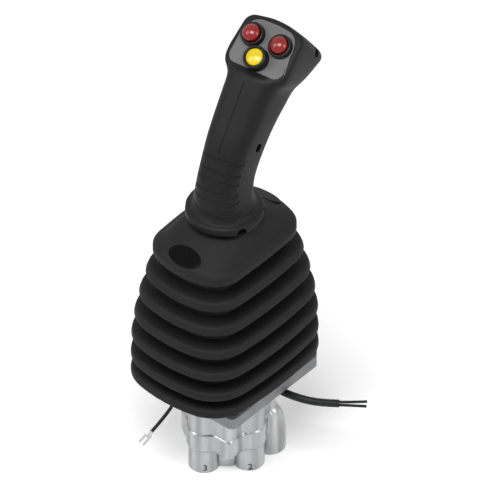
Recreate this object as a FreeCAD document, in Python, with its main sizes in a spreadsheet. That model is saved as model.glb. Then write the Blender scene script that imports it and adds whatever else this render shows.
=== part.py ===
import FreeCAD, Part
import math
import os
import Sketcher

# Hydraulic remote-control joystick: a pilot valve body with a mounting plate, a universal joint and
# cam plate under a folded gaiter, and a leaning grip with three push buttons.
# Frame: origin at the centre of the mounting plate's underside, +Z up, +Y away from the operator.

Vec = FreeCAD.Vector
doc = FreeCAD.newDocument("joystick")
sheet = doc.addObject("Spreadsheet::Sheet", "Dims")

SIZES = {
    # mounting plate and the gaiter's frame
    "plate_side": 93.0,
    "plate_corner": 5.0,
    "plate_thick": 9.0,
    "mount_pitch": 76.0,
    "mount_hole_radius": 3.3,
    "mount_head_radius": 6.0,
    "frame_thick": 3.2,
    "tray_thick": 3.0,
    "tray_gap": 0.4,
    "frame_opening_radius": 34.0,
    "frame_screw_ring": 41.0,
    "frame_screw_radius": 2.0,
    "frame_screw_length": 10.0,
    "frame_screw_head": 2.4,
    # valve body
    "body_top_half": 21.5,
    "body_corner": 5.0,
    "body_step_depth": 39.5,
    "body_step_out": 1.2,
    "body_belt_depth": 54.2,
    "body_depth": 71.5,
    "lobe_ring": 22.0,
    "lobe_radius": 10.8,
    "core_radius": 20.5,
    "supply_ring": 31.4,
    "supply_top": 33.0,
    "supply_shoulder": 24.0,
    "supply_tip": 1.5,
    "port_bore_radius": 5.72,
    "port_bore_depth": 12.0,
    "drill_point": 118.0,
    "passage_radius": 3.0,
    "body_screw_half": 17.0,
    "body_screw_radius": 3.0,
    "body_screw_head_radius": 5.0,
    "body_screw_head": 6.0,
    "body_screw_length": 26.0,
    # plungers and their guides
    "plunger_radius": 4.0,
    "plunger_ring": 22.0,
    "plunger_length": 42.0,
    "plunger_stroke": 8.2,
    "guide_radius": 6.0,
    "guide_head_radius": 7.0,
    "guide_head": 5.0,
    "guide_top": 20.0,
    "guide_depth": 14.0,
    "plunger_well": 8.0,
    "wiper_thick": 1.6,
    "wiper_radius": 5.4,
    "wiper_edge": 0.6,
    "wiper_lip": 0.5,
    "running_fit": 0.05,
    # universal joint
    "pivot_height": 30.0,
    "joint_ear_inner": 7.0,
    "joint_ear_outer": 11.0,
    "joint_ear_radius": 6.0,
    "joint_pin_radius": 2.5,
    "joint_cross_half": 6.7,
    "joint_cross_half_height": 5.0,
    "joint_floor": 10.5,
    "joint_bridge": 10.0,
    "joint_bridge_thick": 4.0,
    "joint_base_radius": 13.0,
    "joint_stem_radius": 6.0,
    "joint_stem_depth": 12.0,
    "stud_radius": 5.0,
    "stud_length": 14.0,
    # cam plate, nut and lever rod
    "cam_gap": 0.35,
    "cam_radius": 28.0,
    "cam_thick": 4.4,
    "cam_hat_radius": 14.2,
    "cam_hat_wall": 3.6,
    "cam_hat_top": 4.0,
    "cam_hat_taper": 1.0,
    "nut_across_flats": 17.0,
    "nut_thick": 6.0,
    "rod_radius": 6.0,
    "rod_in_grip": 37.6,
    # gaiter: half sizes of the cap and of the widest fold, along Y and along X
    "gaiter_cap_half_y": 50.6,
    "gaiter_cap_half_x": 36.5,
    "gaiter_cap_corner": 22.0,
    "gaiter_cap_bulge_x": 2.4,
    "gaiter_cap_bulge_y": 10.0,
    "gaiter_belly_half_y": 64.8,
    "gaiter_belly_half_x": 50.0,
    "gaiter_belly_corner": 30.3,
    "gaiter_belly_bulge_x": 7.4,
    "gaiter_belly_bulge_y": 11.0,
    "gaiter_first_rise": 15.5,
    "gaiter_cap_level": 118.7,
    "gaiter_belly_folds": 4.6,
    "gaiter_band": 5.9,
    "gaiter_band_lean": 0.6,
    "gaiter_slope_rise": 3.2,
    "gaiter_throat_rise": 2.6,
    "gaiter_groove": 11.0,
    "gaiter_wall": 2.0,
    "gaiter_shoulder_in_x": 6.0,
    "gaiter_shoulder_in_y": 3.0,
    "gaiter_shoulder_rise": 4.4,
    "gaiter_dome_rise": 11.1,
    "gaiter_neck_radius": 20.0,
    "gaiter_neck_lip": 3.0,
    "gaiter_neck_oval": 2.0,
    "badge_half_y": 7.5,
    "badge_half_x": 13.9,
    "badge_inset": 7.8,
    "badge_slope": 27.0,
    "badge_seat": 1.1,
    "badge_thick": 1.3,
    # handle: it is clamped on the rod with a small turn, as in the photograph
    "handle_turn": 5.6,
    "collar_rise": 25.3,
    "collar_radius": 27.5,
    "collar_height": 6.4,
    "collar_wall": 3.2,
    "collar_edge": 0.7,
    "collar_top_radius": 22.6,
    "collar_notch_radius": 3.3,
    "collar_notch_rise": 2.6,
    "collar_notch_angle": 29.5,
    "collar_neck": 6.0,
    "set_screw_radius": 2.0,
    "grip_half_width": 19.0,
    "grip_half_depth": 20.4,
    "panel_front_y": 33.0,
    "panel_front_rise": 99.2,
    "panel_slope": 34.7,
    "head_depth": 46.0,
    "head_crown": 4.4,
    "head_crown_radius": 50.0,
    "panel_half_width": 22.3,
    "panel_length": 36.3,
    "panel_thick": 1.2,
    "panel_recess": 1.5,
    "panel_gap": 0.1,
    "button_side_x": 11.5,
    "button_side_w": 22.9,
    "button_middle_w": 8.2,
    "button_collar_radius": 8.6,
    "button_bore_radius": 6.5,
    "button_cap_radius": 6.2,
    "button_body_depth": 9.0,
    "button_side_rise": 4.5,
    "button_middle_rise": 7.5,
    "button_side_cap": 9.6,
    "button_middle_cap": 8.6,
    "button_travel": 1.5,
    "button_lip": 0.7,
    "button_mouth": 0.35,
    "button_floor": 3.0,
    "button_side_crown": 3.2,
    "button_middle_crown": 1.8,
    "button_gap": 0.3,
    "shell_screw_radius": 2.8,
    "shell_screw_half_length": 12.0,
    # cable and earth lead
    "cable_radius": 2.75,
    "core_wire_radius": 1.0,
    "lead_radius": 1.25,
    "gland_radius": 4.2,
    "gland_length": 8.0,
    "gland_edge": 2.0,
    "gland_edge_in": 0.7,
    "gland_boss_wall": 0.6,
    "gland_boss_length": 10.0,
    "grommet_radius": 3.0,
    "grommet_flange": 1.0,
    "grommet_flange_thick": 0.5,
    "grommet_length": 4.5,
    "terminal_wall": 0.35,
    "terminal_barrel": 3.2,
    "terminal_thick": 0.8,
    "terminal_width": 5.0,
    "terminal_slot": 1.8,
    "terminal_palm": 2.2,
    "terminal_prong": 5.6,
    "terminal_spin": 35.0,
}

for row, (alias, value) in enumerate(SIZES.items(), start=1):
    sheet.set(f"A{row}", alias)
    sheet.set(f"B{row}", str(value))
    sheet.setAlias(f"B{row}", alias)
doc.recompute()


def size(alias):
    return float(getattr(sheet, alias))


def bind(item, **expressions):
    """Tie properties of a document object to the sheet."""
    for prop, text in expressions.items():
        for alias in sorted(SIZES, key=len, reverse=True):
            text = replace_word(text, alias)
        item.setExpression(prop.replace("__", "."), text)


def replace_word(text, alias):
    out = []
    word = ""
    for letter in text + " ":
        if letter.isalnum() or letter in "_.":
            word += letter
            continue
        out.append("Dims." + alias if word == alias else word)
        out.append(letter)
        word = ""
    return "".join(out)[:-1]


def place(item, x="0", y="0", z="0"):
    """Bind an object's position to the sheet."""
    bind(item, Placement__Base__x=x, Placement__Base__y=y, Placement__Base__z=z)


def cylinder(name, radius, height, x="0", y="0", z="0"):
    item = doc.addObject("Part::Cylinder", name)
    bind(item, Radius=radius, Height=height)
    place(item, x, y, z)
    return item


def fuse(name, items):
    item = doc.addObject("Part::MultiFuse", name)
    item.Shapes = items
    return item


def cut(name, base, tools):
    tool = tools[0] if len(tools) == 1 else fuse(name + "_tools", tools)
    item = doc.addObject("Part::Cut", name)
    item.Base = base
    item.Tool = tool
    return item


def feature(name, shape, placement=None):
    """A piece whose form is worked out with Part's own functions from the sheet's sizes."""
    item = doc.addObject("Part::Feature", name)
    item.Shape = shape
    if placement is not None:
        item.Placement = placement
    return item


def revolved(name, profile):
    """A turned piece: a body with a closed profile of (radius, height) pairs, every corner bound."""
    body = doc.addObject("PartDesign::Body", name)
    sketch = body.newObject("Sketcher::SketchObject", name + "_profile")
    plane = [o for o in body.Origin.OriginFeatures if o.Role == "XZ_Plane"][0]
    sketch.AttachmentSupport = [(plane, "")]
    sketch.MapMode = "FlatFace"
    corners = [(evaluate(r), evaluate(z)) for r, z in profile]
    for i, (r, z) in enumerate(corners):
        r_next, z_next = corners[(i + 1) % len(corners)]
        sketch.addGeometry(Part.LineSegment(Vec(r, z, 0), Vec(r_next, z_next, 0)), False)
    for i in range(len(corners)):
        follower = (i + 1) % len(corners)
        sketch.addConstraint(Sketcher.Constraint("Coincident", i, 2, follower, 1))
    for i, (r_text, z_text) in enumerate(profile):
        for kind, value, text, axis in (
            ("DistanceX", corners[i][0], r_text, -2),
            ("DistanceY", corners[i][1], z_text, -1),
        ):
            if abs(value) < 1e-9:
                sketch.addConstraint(Sketcher.Constraint("PointOnObject", i, 1, axis))
                continue
            index = sketch.addConstraint(Sketcher.Constraint(kind, -1, 1, i, 1, value))
            bind(sketch, **{f"Constraints[{index}]": text})
    turn = body.newObject("PartDesign::Revolution", name + "_turn")
    turn.Profile = sketch
    turn.ReferenceAxis = (sketch, ["V_Axis"])
    turn.Angle = 360.0
    body.Tip = turn
    return body


def evaluate(text):
    """The value of a plain sum of sheet names and numbers, such as plate_thick + 0.5."""
    total = 0.0
    sign = 1.0
    for word in text.replace("-", " - ").replace("+", " + ").split():
        if word == "+":
            sign = 1.0
        elif word == "-":
            sign = -1.0
        else:
            total += sign * (size(word) if word in SIZES else float(word))
            sign = 1.0
    return total


# Outlines in a plane

def arc_from(centre, radius, start, end):
    """An arc in the XY plane from one direction to another, in radians, anticlockwise."""
    middle = (start + end) / 2

    def point(angle):
        return Vec(centre[0] + radius * math.cos(angle), centre[1] + radius * math.sin(angle), 0)

    return Part.Arc(point(start), point(middle), point(end)).toShape()


def bulged(half_x, half_y, corner, bulge_x, bulge_y, inset=0.0):
    """A rounded rectangle whose four sides are arcs; an inset keeps it parallel to itself."""
    side_x = (half_y**2 + bulge_x**2) / (2 * bulge_x)
    side_y = (half_x**2 + bulge_y**2) / (2 * bulge_y)
    centre_x = half_x - side_x
    centre_y = half_y - side_y
    reach_x = side_x - corner
    reach_y = side_y - corner
    gap = math.hypot(centre_x, centre_y)
    along = (reach_x**2 - reach_y**2 + gap**2) / (2 * gap)
    across = math.sqrt(reach_x**2 - along**2)
    ux, uy = -centre_x / gap, centre_y / gap
    corner_x = centre_x + along * ux + across * -uy
    corner_y = along * uy + across * ux
    if corner_x < 0 or corner_y < 0:
        corner_x = centre_x + along * ux + across * uy
        corner_y = along * uy - across * ux
    low = math.atan2(corner_y, corner_x - centre_x)
    high = math.atan2(corner_y - centre_y, corner_x)
    radii = side_x - inset, corner - inset, side_y - inset
    quarter = math.pi / 2
    edges = [arc_from((centre_x, 0), radii[0], -low, low)]
    edges.append(arc_from((corner_x, corner_y), radii[1], low, high))
    edges.append(arc_from((0, centre_y), radii[2], high, 2 * quarter - high))
    edges.append(arc_from((-corner_x, corner_y), radii[1], 2 * quarter - high, 2 * quarter - low))
    edges.append(arc_from((-centre_x, 0), radii[0], 2 * quarter - low, 2 * quarter + low))
    edges.append(arc_from((-corner_x, -corner_y), radii[1], 2 * quarter + low, 2 * quarter + high))
    edges.append(arc_from((0, -centre_y), radii[2], 2 * quarter + high, 4 * quarter - high))
    edges.append(arc_from((corner_x, -corner_y), radii[1], 4 * quarter - high, 4 * quarter - low))
    return Part.Wire(edges)


def rounded(points, radii):
    """A closed outline of straight sides with rounded corners, anticlockwise."""
    count = len(points)
    starts, mids, ends = [], [], []
    for i in range(count):
        here = Vec(points[i][0], points[i][1], 0)
        before = (Vec(*points[i - 1], 0) - here).normalize()
        after = (Vec(*points[(i + 1) % count], 0) - here).normalize()
        half = before.getAngle(after) / 2
        leg = radii[i] / math.tan(half)
        bisector = (before + after).normalize()
        starts.append(here + before * leg)
        ends.append(here + after * leg)
        mids.append(here + bisector * (radii[i] / math.sin(half) - radii[i]))
    edges = []
    for i in range(count):
        edges.append(Part.Arc(starts[i], mids[i], ends[i]).toShape())
        edges.append(Part.LineSegment(ends[i], starts[(i + 1) % count]).toShape())
    return Part.Wire(edges)


def raised(wire, height):
    out = wire.copy()
    out.translate(Vec(0, 0, height))
    return out


def prism(wire, low, high):
    """A solid with a flat outline between two heights."""
    return Part.Face(raised(wire, low)).extrude(Vec(0, 0, high - low))


def turned(placement, wire):
    out = wire.copy()
    out.Placement = placement.multiply(out.Placement)
    return out


def square(half, corner):
    return rounded([(half, -half), (half, half), (-half, half), (-half, -half)], [corner] * 4)


QUARTERS = {"right": (1, 0), "back": (0, 1), "left": (-1, 0), "front": (0, -1)}


def ring_text(alias, factor):
    return {1: alias, 0: "0", -1: "-" + alias}[factor]


# Valve body: a casting with four work-port lobes on the axes and two supply lobes at the rear corners

def valve_body():
    half = size("body_top_half")
    top = prism(square(half, size("body_corner")), -size("body_step_depth"), 0)
    belt_half = half + size("body_step_out")
    belt_wire = square(belt_half, size("body_corner") + size("body_step_out"))
    belt = prism(belt_wire, -size("body_belt_depth"), -size("body_step_depth"))
    core = Part.makeCylinder(size("core_radius"), size("body_depth"), Vec(0, 0, -size("body_depth")))
    lobe = size("lobe_radius")
    depth = size("body_depth")
    parts = [belt, core]
    for x, y in QUARTERS.values():
        at = Vec(x, y, 0) * size("lobe_ring")
        parts.append(Part.makeCylinder(lobe, depth, at - Vec(0, 0, depth)))
        swell = lobe + size("body_step_out")
        height = size("body_belt_depth") - size("body_step_depth")
        parts.append(Part.makeCylinder(swell, height, at - Vec(0, 0, size("body_belt_depth"))))
    for x in (1, -1):
        at = Vec(x, 1, 0) * (size("supply_ring") / math.sqrt(2))
        parts.append(supply_lobe(lobe, depth, at))
    solid = top.multiFuse(parts)
    holes = []
    for x, y in QUARTERS.values():
        at = Vec(x, y, 0)
        guide = size("guide_radius") + size("running_fit")
        guide_depth = size("guide_depth") + size("plunger_stroke") + size("plunger_well")
        ring = at * size("plunger_ring")
        holes.append(Part.makeCylinder(guide, guide_depth, ring - Vec(0, 0, guide_depth)))
        holes += drilled_port(at * size("lobe_ring") - Vec(0, 0, depth))
        passage = ring - Vec(0, 0, depth - size("port_bore_depth"))
        holes.append(Part.makeCylinder(size("passage_radius"), depth - guide_depth, passage))
    for x in (1, -1):
        holes += drilled_port(Vec(x, 1, 0) * (size("supply_ring") / math.sqrt(2)) - Vec(0, 0, depth))
    stem = size("joint_stem_radius")
    holes.append(Part.makeCylinder(stem, size("joint_stem_depth"), Vec(0, 0, -size("joint_stem_depth"))))
    for x, y in ((1, 1), (-1, 1), (-1, -1), (1, -1)):
        at = Vec(x, y, 0) * size("body_screw_half")
        reach = size("body_screw_length") - size("plate_thick") + size("body_screw_head")
        holes.append(Part.makeCylinder(size("body_screw_radius"), reach, at - Vec(0, 0, reach)))
    seat, way = gland_axis()
    boss_length = size("gland_boss_length")
    boss_radius = size("gland_radius") + size("gland_boss_wall")
    boss = Part.makeCylinder(boss_radius, boss_length, seat - way * boss_length, way)
    return solid.fuse(boss).cut(Part.makeCompound(holes))


def supply_lobe(radius, depth, at):
    """An upright cylinder whose shoulder curves in to a blunt tip, like the nose of a bullet."""
    rise = size("supply_shoulder")
    foot = -size("supply_top") - rise
    tip = size("supply_tip")
    curve = ((radius - tip) ** 2 + rise**2) / (2 * (radius - tip))
    half_angle = math.asin(rise / curve) / 2
    middle = Vec(radius - curve + curve * math.cos(half_angle), 0, foot + curve * math.sin(half_angle))
    edges = [
        Part.LineSegment(Vec(0, 0, -depth), Vec(radius, 0, -depth)).toShape(),
        Part.LineSegment(Vec(radius, 0, -depth), Vec(radius, 0, foot)).toShape(),
        Part.Arc(Vec(radius, 0, foot), middle, Vec(tip, 0, foot + rise)).toShape(),
        Part.LineSegment(Vec(tip, 0, foot + rise), Vec(0, 0, foot + rise)).toShape(),
        Part.LineSegment(Vec(0, 0, foot + rise), Vec(0, 0, -depth)).toShape(),
    ]
    solid = Part.Face(Part.Wire(edges)).revolve(Vec(0, 0, 0), Vec(0, 0, 1), 360)
    solid.translate(at)
    return solid


def drilled_port(mouth):
    """A port's bore, with the cone that the drill leaves at its end."""
    radius = size("port_bore_radius")
    length = size("port_bore_depth")
    point = radius / math.tan(math.radians(size("drill_point") / 2))
    bore = Part.makeCylinder(radius, length, mouth)
    return [bore, Part.makeCone(radius, 0, point, mouth + Vec(0, 0, length))]


def gland_axis():
    """Where the cable gland's shoulder meets the body's right side, and the way it points."""
    return Vec(size("body_top_half"), CABLE_ROUTE[0].y, CABLE_ROUTE[0].z), Vec(1, 0, 0)


# Mounting plate, gaiter frame and their screws

def mounting_plate():
    plate = prism(square(size("plate_side") / 2, size("plate_corner")), 0, size("plate_thick"))
    thick = size("plate_thick")
    holes = [Part.makeCylinder(size("joint_stem_radius"), thick)]
    for x, y in QUARTERS.values():
        at = Vec(x, y, 0)
        guide = size("guide_radius") + size("running_fit")
        holes.append(Part.makeCylinder(guide, thick, at * size("plunger_ring")))
        screw = at * size("frame_screw_ring") + Vec(0, 0, thick + size("frame_thick"))
        length = size("frame_screw_length")
        holes.append(Part.makeCylinder(size("frame_screw_radius"), length, screw - Vec(0, 0, length)))
    for x, y in ((1, 1), (-1, 1), (-1, -1), (1, -1)):
        corner = Vec(x, y, 0)
        holes.append(Part.makeCylinder(size("mount_hole_radius"), thick, corner * (size("mount_pitch") / 2)))
        screw = corner * size("body_screw_half")
        holes.append(Part.makeCylinder(size("body_screw_radius"), thick, screw))
        head = screw + Vec(0, 0, thick - size("body_screw_head"))
        holes.append(Part.makeCylinder(size("body_screw_head_radius"), size("body_screw_head"), head))
    lead = Vec(LEAD_ROUTE[0].x, LEAD_ROUTE[0].y, 0)
    holes.append(Part.makeCylinder(size("grommet_radius"), thick, lead))
    return plate.cut(Part.makeCompound(holes))


def gaiter_frame():
    low = size("plate_thick")
    middle = low + size("frame_thick")
    base = prism(square(size("plate_side") / 2, size("plate_corner")), low, middle)
    rim = gaiter_outline(middle, size("gaiter_wall") + size("tray_gap"))
    tray = prism(rim, middle, middle + size("tray_thick"))
    solid = base.fuse(tray)
    height = size("frame_thick") + size("tray_thick")
    holes = [Part.makeCylinder(size("frame_opening_radius"), height, Vec(0, 0, low))]
    for x, y in ((1, 1), (-1, 1), (-1, -1), (1, -1)):
        at = Vec(x, y, 0) * (size("mount_pitch") / 2) + Vec(0, 0, low)
        holes.append(Part.makeCylinder(size("mount_head_radius"), height, at))
    for x, y in QUARTERS.values():
        at = Vec(x, y, 0) * size("frame_screw_ring") + Vec(0, 0, low)
        holes.append(Part.makeCylinder(size("frame_screw_radius"), height, at))
        head = at + Vec(0, 0, size("frame_thick"))
        holes.append(Part.makeCylinder(2 * size("frame_screw_radius"), size("tray_thick"), head))
    return solid.cut(Part.makeCompound(holes))


# A socket in a screw's head: its radius as a share of the shank's, and its depth of the head's
SOCKET_RADIUS = 0.62
SOCKET_DEPTH = 0.55


def screws(name, spots, radius, length, head_radius, head, seat):
    """Socket-head screws with their heads above the seat level."""
    solids = []
    for x, y in spots:
        shank = Part.makeCylinder(radius, length, Vec(x, y, seat - length))
        top = Part.makeCylinder(head_radius, head, Vec(x, y, seat))
        floor = seat + head * (1 - SOCKET_DEPTH)
        socket = Part.makeCylinder(radius * SOCKET_RADIUS, head * SOCKET_DEPTH, Vec(x, y, floor))
        solids.append(shank.fuse(top).cut(socket))
    return feature(name, Part.makeCompound(solids))


# Gaiter: bands and grooves between the bottom rim and the cap

FOLDS = 5


def gaiter_bottom():
    return size("plate_thick") + size("frame_thick")


def gaiter_pitch():
    """The rise from each fold to the next, up to the cap."""
    return (size("gaiter_cap_level") - gaiter_bottom() - size("gaiter_first_rise")) / FOLDS


def gaiter_outline(level, inset):
    """The gaiter's envelope at a height, between its outline at the cap and that at its belly."""
    folds = (size("gaiter_cap_level") - level) / gaiter_pitch()
    share = math.sin(math.pi / 2 * min(max(folds / size("gaiter_belly_folds"), 0), 1))
    measures = []
    for name in ("half_x", "half_y", "corner", "bulge_x", "bulge_y"):
        at_cap = size("gaiter_cap_" + name)
        measures.append(at_cap + (size("gaiter_belly_" + name) - at_cap) * share)
    return bulged(*measures, inset)


def gaiter_profile():
    """The folds' outer profile from the bottom rim to the groove under the cap: (inset, level)."""
    band = size("gaiter_band")
    groove = size("gaiter_groove")
    levels = [gaiter_bottom()]
    levels += [size("gaiter_cap_level") - gaiter_pitch() * (FOLDS - i) for i in range(FOLDS + 1)]
    profile = []
    for level, above in zip(levels, levels[1:]):
        profile.append((0.0, level))
        profile.append((size("gaiter_band_lean"), level + band))
        profile.append((groove, level + band + size("gaiter_slope_rise")))
        profile.append((groove, above - size("gaiter_throat_rise")))
    return profile


def thickened(profile, wall):
    """The profile moved inwards by the wall, keeping each stretch parallel to itself."""
    moved = []
    for i, (inset, level) in enumerate(profile):
        normals = []
        for j, k in ((i - 1, i), (i, i + 1)):
            if j < 0 or k >= len(profile):
                continue
            run = profile[k][0] - profile[j][0], profile[k][1] - profile[j][1]
            length = math.hypot(*run)
            normals.append((run[1] / length, -run[0] / length))
        nx = sum(n[0] for n in normals)
        ny = sum(n[1] for n in normals)
        scale = wall / ((nx * normals[0][0]) + (ny * normals[0][1]))
        moved.append((inset + nx * scale, level + ny * scale))
    return moved


def ruled_solid(profile, outline):
    wires = [raised(outline(level, inset), level) for inset, level in profile]
    return Part.makeLoft(wires, True, True)


def gaiter_folds():
    profile = gaiter_profile()
    outer = ruled_solid(profile, gaiter_outline)
    wall = size("gaiter_wall")
    inner_profile = thickened(profile, wall)
    first, last = inner_profile[0], inner_profile[-1]
    inner_profile[0] = (first[0], profile[0][1] - 1)
    inner_profile[-1] = (last[0], profile[-1][1] + 1)
    inner = ruled_solid(inner_profile, gaiter_outline)
    return outer.cut(inner)


def dome_outline(shoulder, dome, inset):
    """An outline of the cap: a share of the way in over its shoulder, then over its dome to the neck."""
    edge = shoulder * size("gaiter_shoulder_in_y")
    outer = [
        size("gaiter_cap_half_x") - shoulder * size("gaiter_shoulder_in_x"),
        size("gaiter_cap_half_y") - edge,
        size("gaiter_cap_corner") - edge,
    ]
    lip = size("gaiter_neck_radius") + size("gaiter_neck_lip")
    oval = size("gaiter_neck_oval")
    measures = [a + (b - a) * dome for a, b in zip(outer, (lip, lip + oval, lip - oval))]
    return bulged(*measures, size("gaiter_cap_bulge_x"), size("gaiter_cap_bulge_y"), inset)


# The cap's section above its rim: the shoulder's shares of its inset and of its rise, then the
# dome's shares of the way in to the neck and of its rise
DOME_STEPS = [
    (0.0, 0.0, 0.0, 0.0),
    (0.2, 0.35, 0.0, 0.0),
    (0.5, 0.75, 0.0, 0.0),
    (1.0, 1.0, 0.0, 0.0),
    (1.0, 1.0, 0.22, 0.23),
    (1.0, 1.0, 0.6, 0.62),
    (1.0, 1.0, 1.0, 1.0),
]


def dome_sections(inset):
    """The cap's outlines from its rim to the neck, moved inwards by a wall."""
    rim = size("gaiter_cap_level") + size("gaiter_band") - inset
    sections = []
    for shoulder_in, shoulder_up, dome_in, dome_up in DOME_STEPS:
        level = rim + size("gaiter_shoulder_rise") * shoulder_up + size("gaiter_dome_rise") * dome_up
        sections.append(raised(dome_outline(shoulder_in, dome_in, inset), level))
    return sections


def gaiter_cap():
    cap_level = size("gaiter_cap_level")
    groove = size("gaiter_groove")
    wall = size("gaiter_wall")
    throat = size("gaiter_throat_rise")
    outer = [raised(gaiter_outline(cap_level, groove), cap_level - throat)]
    outer.append(raised(gaiter_outline(cap_level, 0), cap_level))
    outer += dome_sections(0)
    inner = [raised(gaiter_outline(cap_level, groove + wall), cap_level - throat - wall)]
    inner.append(raised(gaiter_outline(cap_level, groove + wall), cap_level - throat + wall))
    inner.append(raised(gaiter_outline(cap_level, wall), cap_level + wall))
    inner += dome_sections(wall)
    shell = Part.makeLoft(outer, True, True).cut(Part.makeLoft(inner, True, True))
    above = size("gaiter_band") + size("gaiter_shoulder_rise") + size("gaiter_dome_rise") + wall
    neck = Part.makeCylinder(size("gaiter_neck_radius"), above, Vec(0, 0, cap_level))
    seat = size("badge_half_y")
    return shell.cut(Part.makeCompound([neck, badge(-1, seat), badge(1, seat)]))


def badge(side, thick):
    """A bare oval disc lying in a seat in the dome's slope, front or back."""
    ellipse = Part.Ellipse(Vec(0, 0, 0), size("badge_half_x"), size("badge_half_y")).toShape()
    disc = Part.Face(Part.Wire([ellipse])).extrude(Vec(0, 0, thick))
    rim = size("gaiter_cap_level") + size("gaiter_band") + size("gaiter_shoulder_rise")
    slope = math.tan(math.radians(size("badge_slope")))
    level = rim + (size("badge_inset") - size("gaiter_shoulder_in_y")) * slope - size("badge_seat")
    tilt = FreeCAD.Rotation(Vec(1, 0, 0), -side * size("badge_slope"))
    offset = size("gaiter_cap_half_y") - size("badge_inset")
    disc.Placement = FreeCAD.Placement(Vec(0, side * offset, level), tilt)
    return disc


# Universal joint

def ears(across, low, high, floor):
    """Two ears with rounded ends on the pivot, joined by a floor and standing across X or Y."""
    inner = size("joint_ear_inner")
    outer = size("joint_ear_outer")
    radius = size("joint_ear_radius")
    pivot = size("pivot_height")
    solids = []
    for side in (1, -1):
        start = inner if side > 0 else -outer
        block = Part.makeBox(outer - inner, 2 * radius, high - low, Vec(start, -radius, low))
        knuckle = Part.makeCylinder(radius, outer - inner, Vec(start, 0, pivot), Vec(1, 0, 0))
        solids.append(block.fuse(knuckle))
    solid = solids[0].fuse(solids[1]).fuse(floor)
    bore = size("joint_pin_radius") + size("running_fit")
    solid = solid.cut(Part.makeCylinder(bore, 4 * outer, Vec(-2 * outer, 0, pivot), Vec(1, 0, 0)))
    if across == "Y":
        solid.rotate(Vec(0, 0, 0), Vec(0, 0, 1), 90)
    return solid.removeSplitter()


def joint_base():
    pivot = size("pivot_height")
    floor = pivot - size("joint_floor")
    seat = size("plate_thick")
    disc = Part.makeCylinder(size("joint_base_radius"), floor - seat, Vec(0, 0, seat))
    stem = Part.makeCylinder(
        size("joint_stem_radius"),
        seat + size("joint_stem_depth"),
        Vec(0, 0, -size("joint_stem_depth")),
    )
    return ears("X", floor - 0.5, pivot, disc.fuse(stem))


def joint_fork():
    pivot = size("pivot_height")
    bridge = pivot + size("joint_bridge")
    thick = size("joint_bridge_thick")
    disc = Part.makeCylinder(size("joint_ear_outer") + 1, thick, Vec(0, 0, bridge))
    stud = Part.makeCylinder(size("stud_radius"), size("stud_length"), Vec(0, 0, bridge + thick))
    return ears("Y", pivot, bridge + 0.5, disc.fuse(stud))


def joint_cross():
    half = size("joint_cross_half")
    high = size("joint_cross_half_height")
    pivot = size("pivot_height")
    block = Part.makeBox(2 * half, 2 * half, 2 * high, Vec(-half, -half, pivot - high))
    reach = size("joint_ear_outer")
    radius = size("joint_pin_radius")
    pin_x = Part.makeCylinder(radius, 2 * reach, Vec(-reach, 0, pivot), Vec(1, 0, 0))
    pin_y = Part.makeCylinder(radius, 2 * reach, Vec(0, -reach, pivot), Vec(0, 1, 0))
    return block.fuse([pin_x, pin_y])


# Handle

def handle_frame():
    return FreeCAD.Placement(Vec(0, 0, 0), FreeCAD.Rotation(Vec(0, 0, 1), size("handle_turn")))


def collar_level():
    return size("gaiter_cap_level") + size("collar_rise")


def collar_top():
    return collar_level() + size("collar_height")


def panel_frame():
    """Local x across the panel, y up its slope, z out of it; the origin is its front edge."""
    origin = Vec(0, size("panel_front_y"), collar_top() + size("panel_front_rise"))
    return FreeCAD.Placement(origin, FreeCAD.Rotation(Vec(1, 0, 0), size("panel_slope")))


# The collar's rounded shoulder: shares of the way in and of the way up
COLLAR_STEPS = [(0.2, 0.55), (0.55, 0.9)]


def handle_collar():
    level = collar_level()
    radius = size("collar_radius")
    top = collar_top()
    wall = size("collar_wall")
    crown = size("collar_top_radius")
    neck = size("gaiter_neck_radius")
    edge = size("collar_edge")
    points = [
        (size("rod_radius"), level - size("collar_neck")),
        (neck, level - size("collar_neck")),
        (neck, level),
        (radius - edge, level),
        (radius, level + edge),
        (radius, level + wall),
        *[(radius - a * (radius - crown), level + wall + b * (top - level - wall)) for a, b in COLLAR_STEPS],
        (crown, top),
        (size("rod_radius"), top),
    ]
    wire = Part.makePolygon([Vec(r, 0, z) for r, z in points + points[:1]])
    solid = Part.Face(wire).revolve(Vec(0, 0, 0), Vec(0, 0, 1), 360)
    notch = size("collar_notch_radius")
    rise = size("collar_notch_rise")
    reach = radius - neck + 2
    cuts = []
    for angle in notch_angles():
        way = Vec(math.cos(angle), math.sin(angle), 0)
        cuts.append(Part.makeCylinder(notch, reach, way * (neck - 1) + Vec(0, 0, level + rise), way))
        slot = Part.makeBox(reach, 2 * notch, rise + 1, Vec(neck - 1, -notch, level - 1))
        slot.rotate(Vec(0, 0, 0), Vec(0, 0, 1), math.degrees(angle))
        cuts.append(slot)
        cuts.append(Part.makeCylinder(size("set_screw_radius"), radius + 1, Vec(0, 0, level + rise), way))
    return solid.cut(Part.makeCompound(cuts))


def notch_angles():
    offset = math.radians(size("collar_notch_angle"))
    return [side + swing for side in (0, math.pi) for swing in (offset, -offset)]


def collar_set_screws():
    radius = size("set_screw_radius")
    inner = size("rod_radius")
    outer = size("gaiter_neck_radius")
    level = Vec(0, 0, collar_level() + size("collar_notch_rise"))
    solids = []
    for angle in notch_angles():
        way = Vec(math.cos(angle), math.sin(angle), 0)
        screw = Part.makeCylinder(radius, outer - inner, way * inner + level, way)
        socket = Part.makeCylinder(0.55 * radius, radius + 1, way * (outer - radius) + level, way)
        solids.append(screw.cut(socket))
    return Part.makeCompound(solids)


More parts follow.
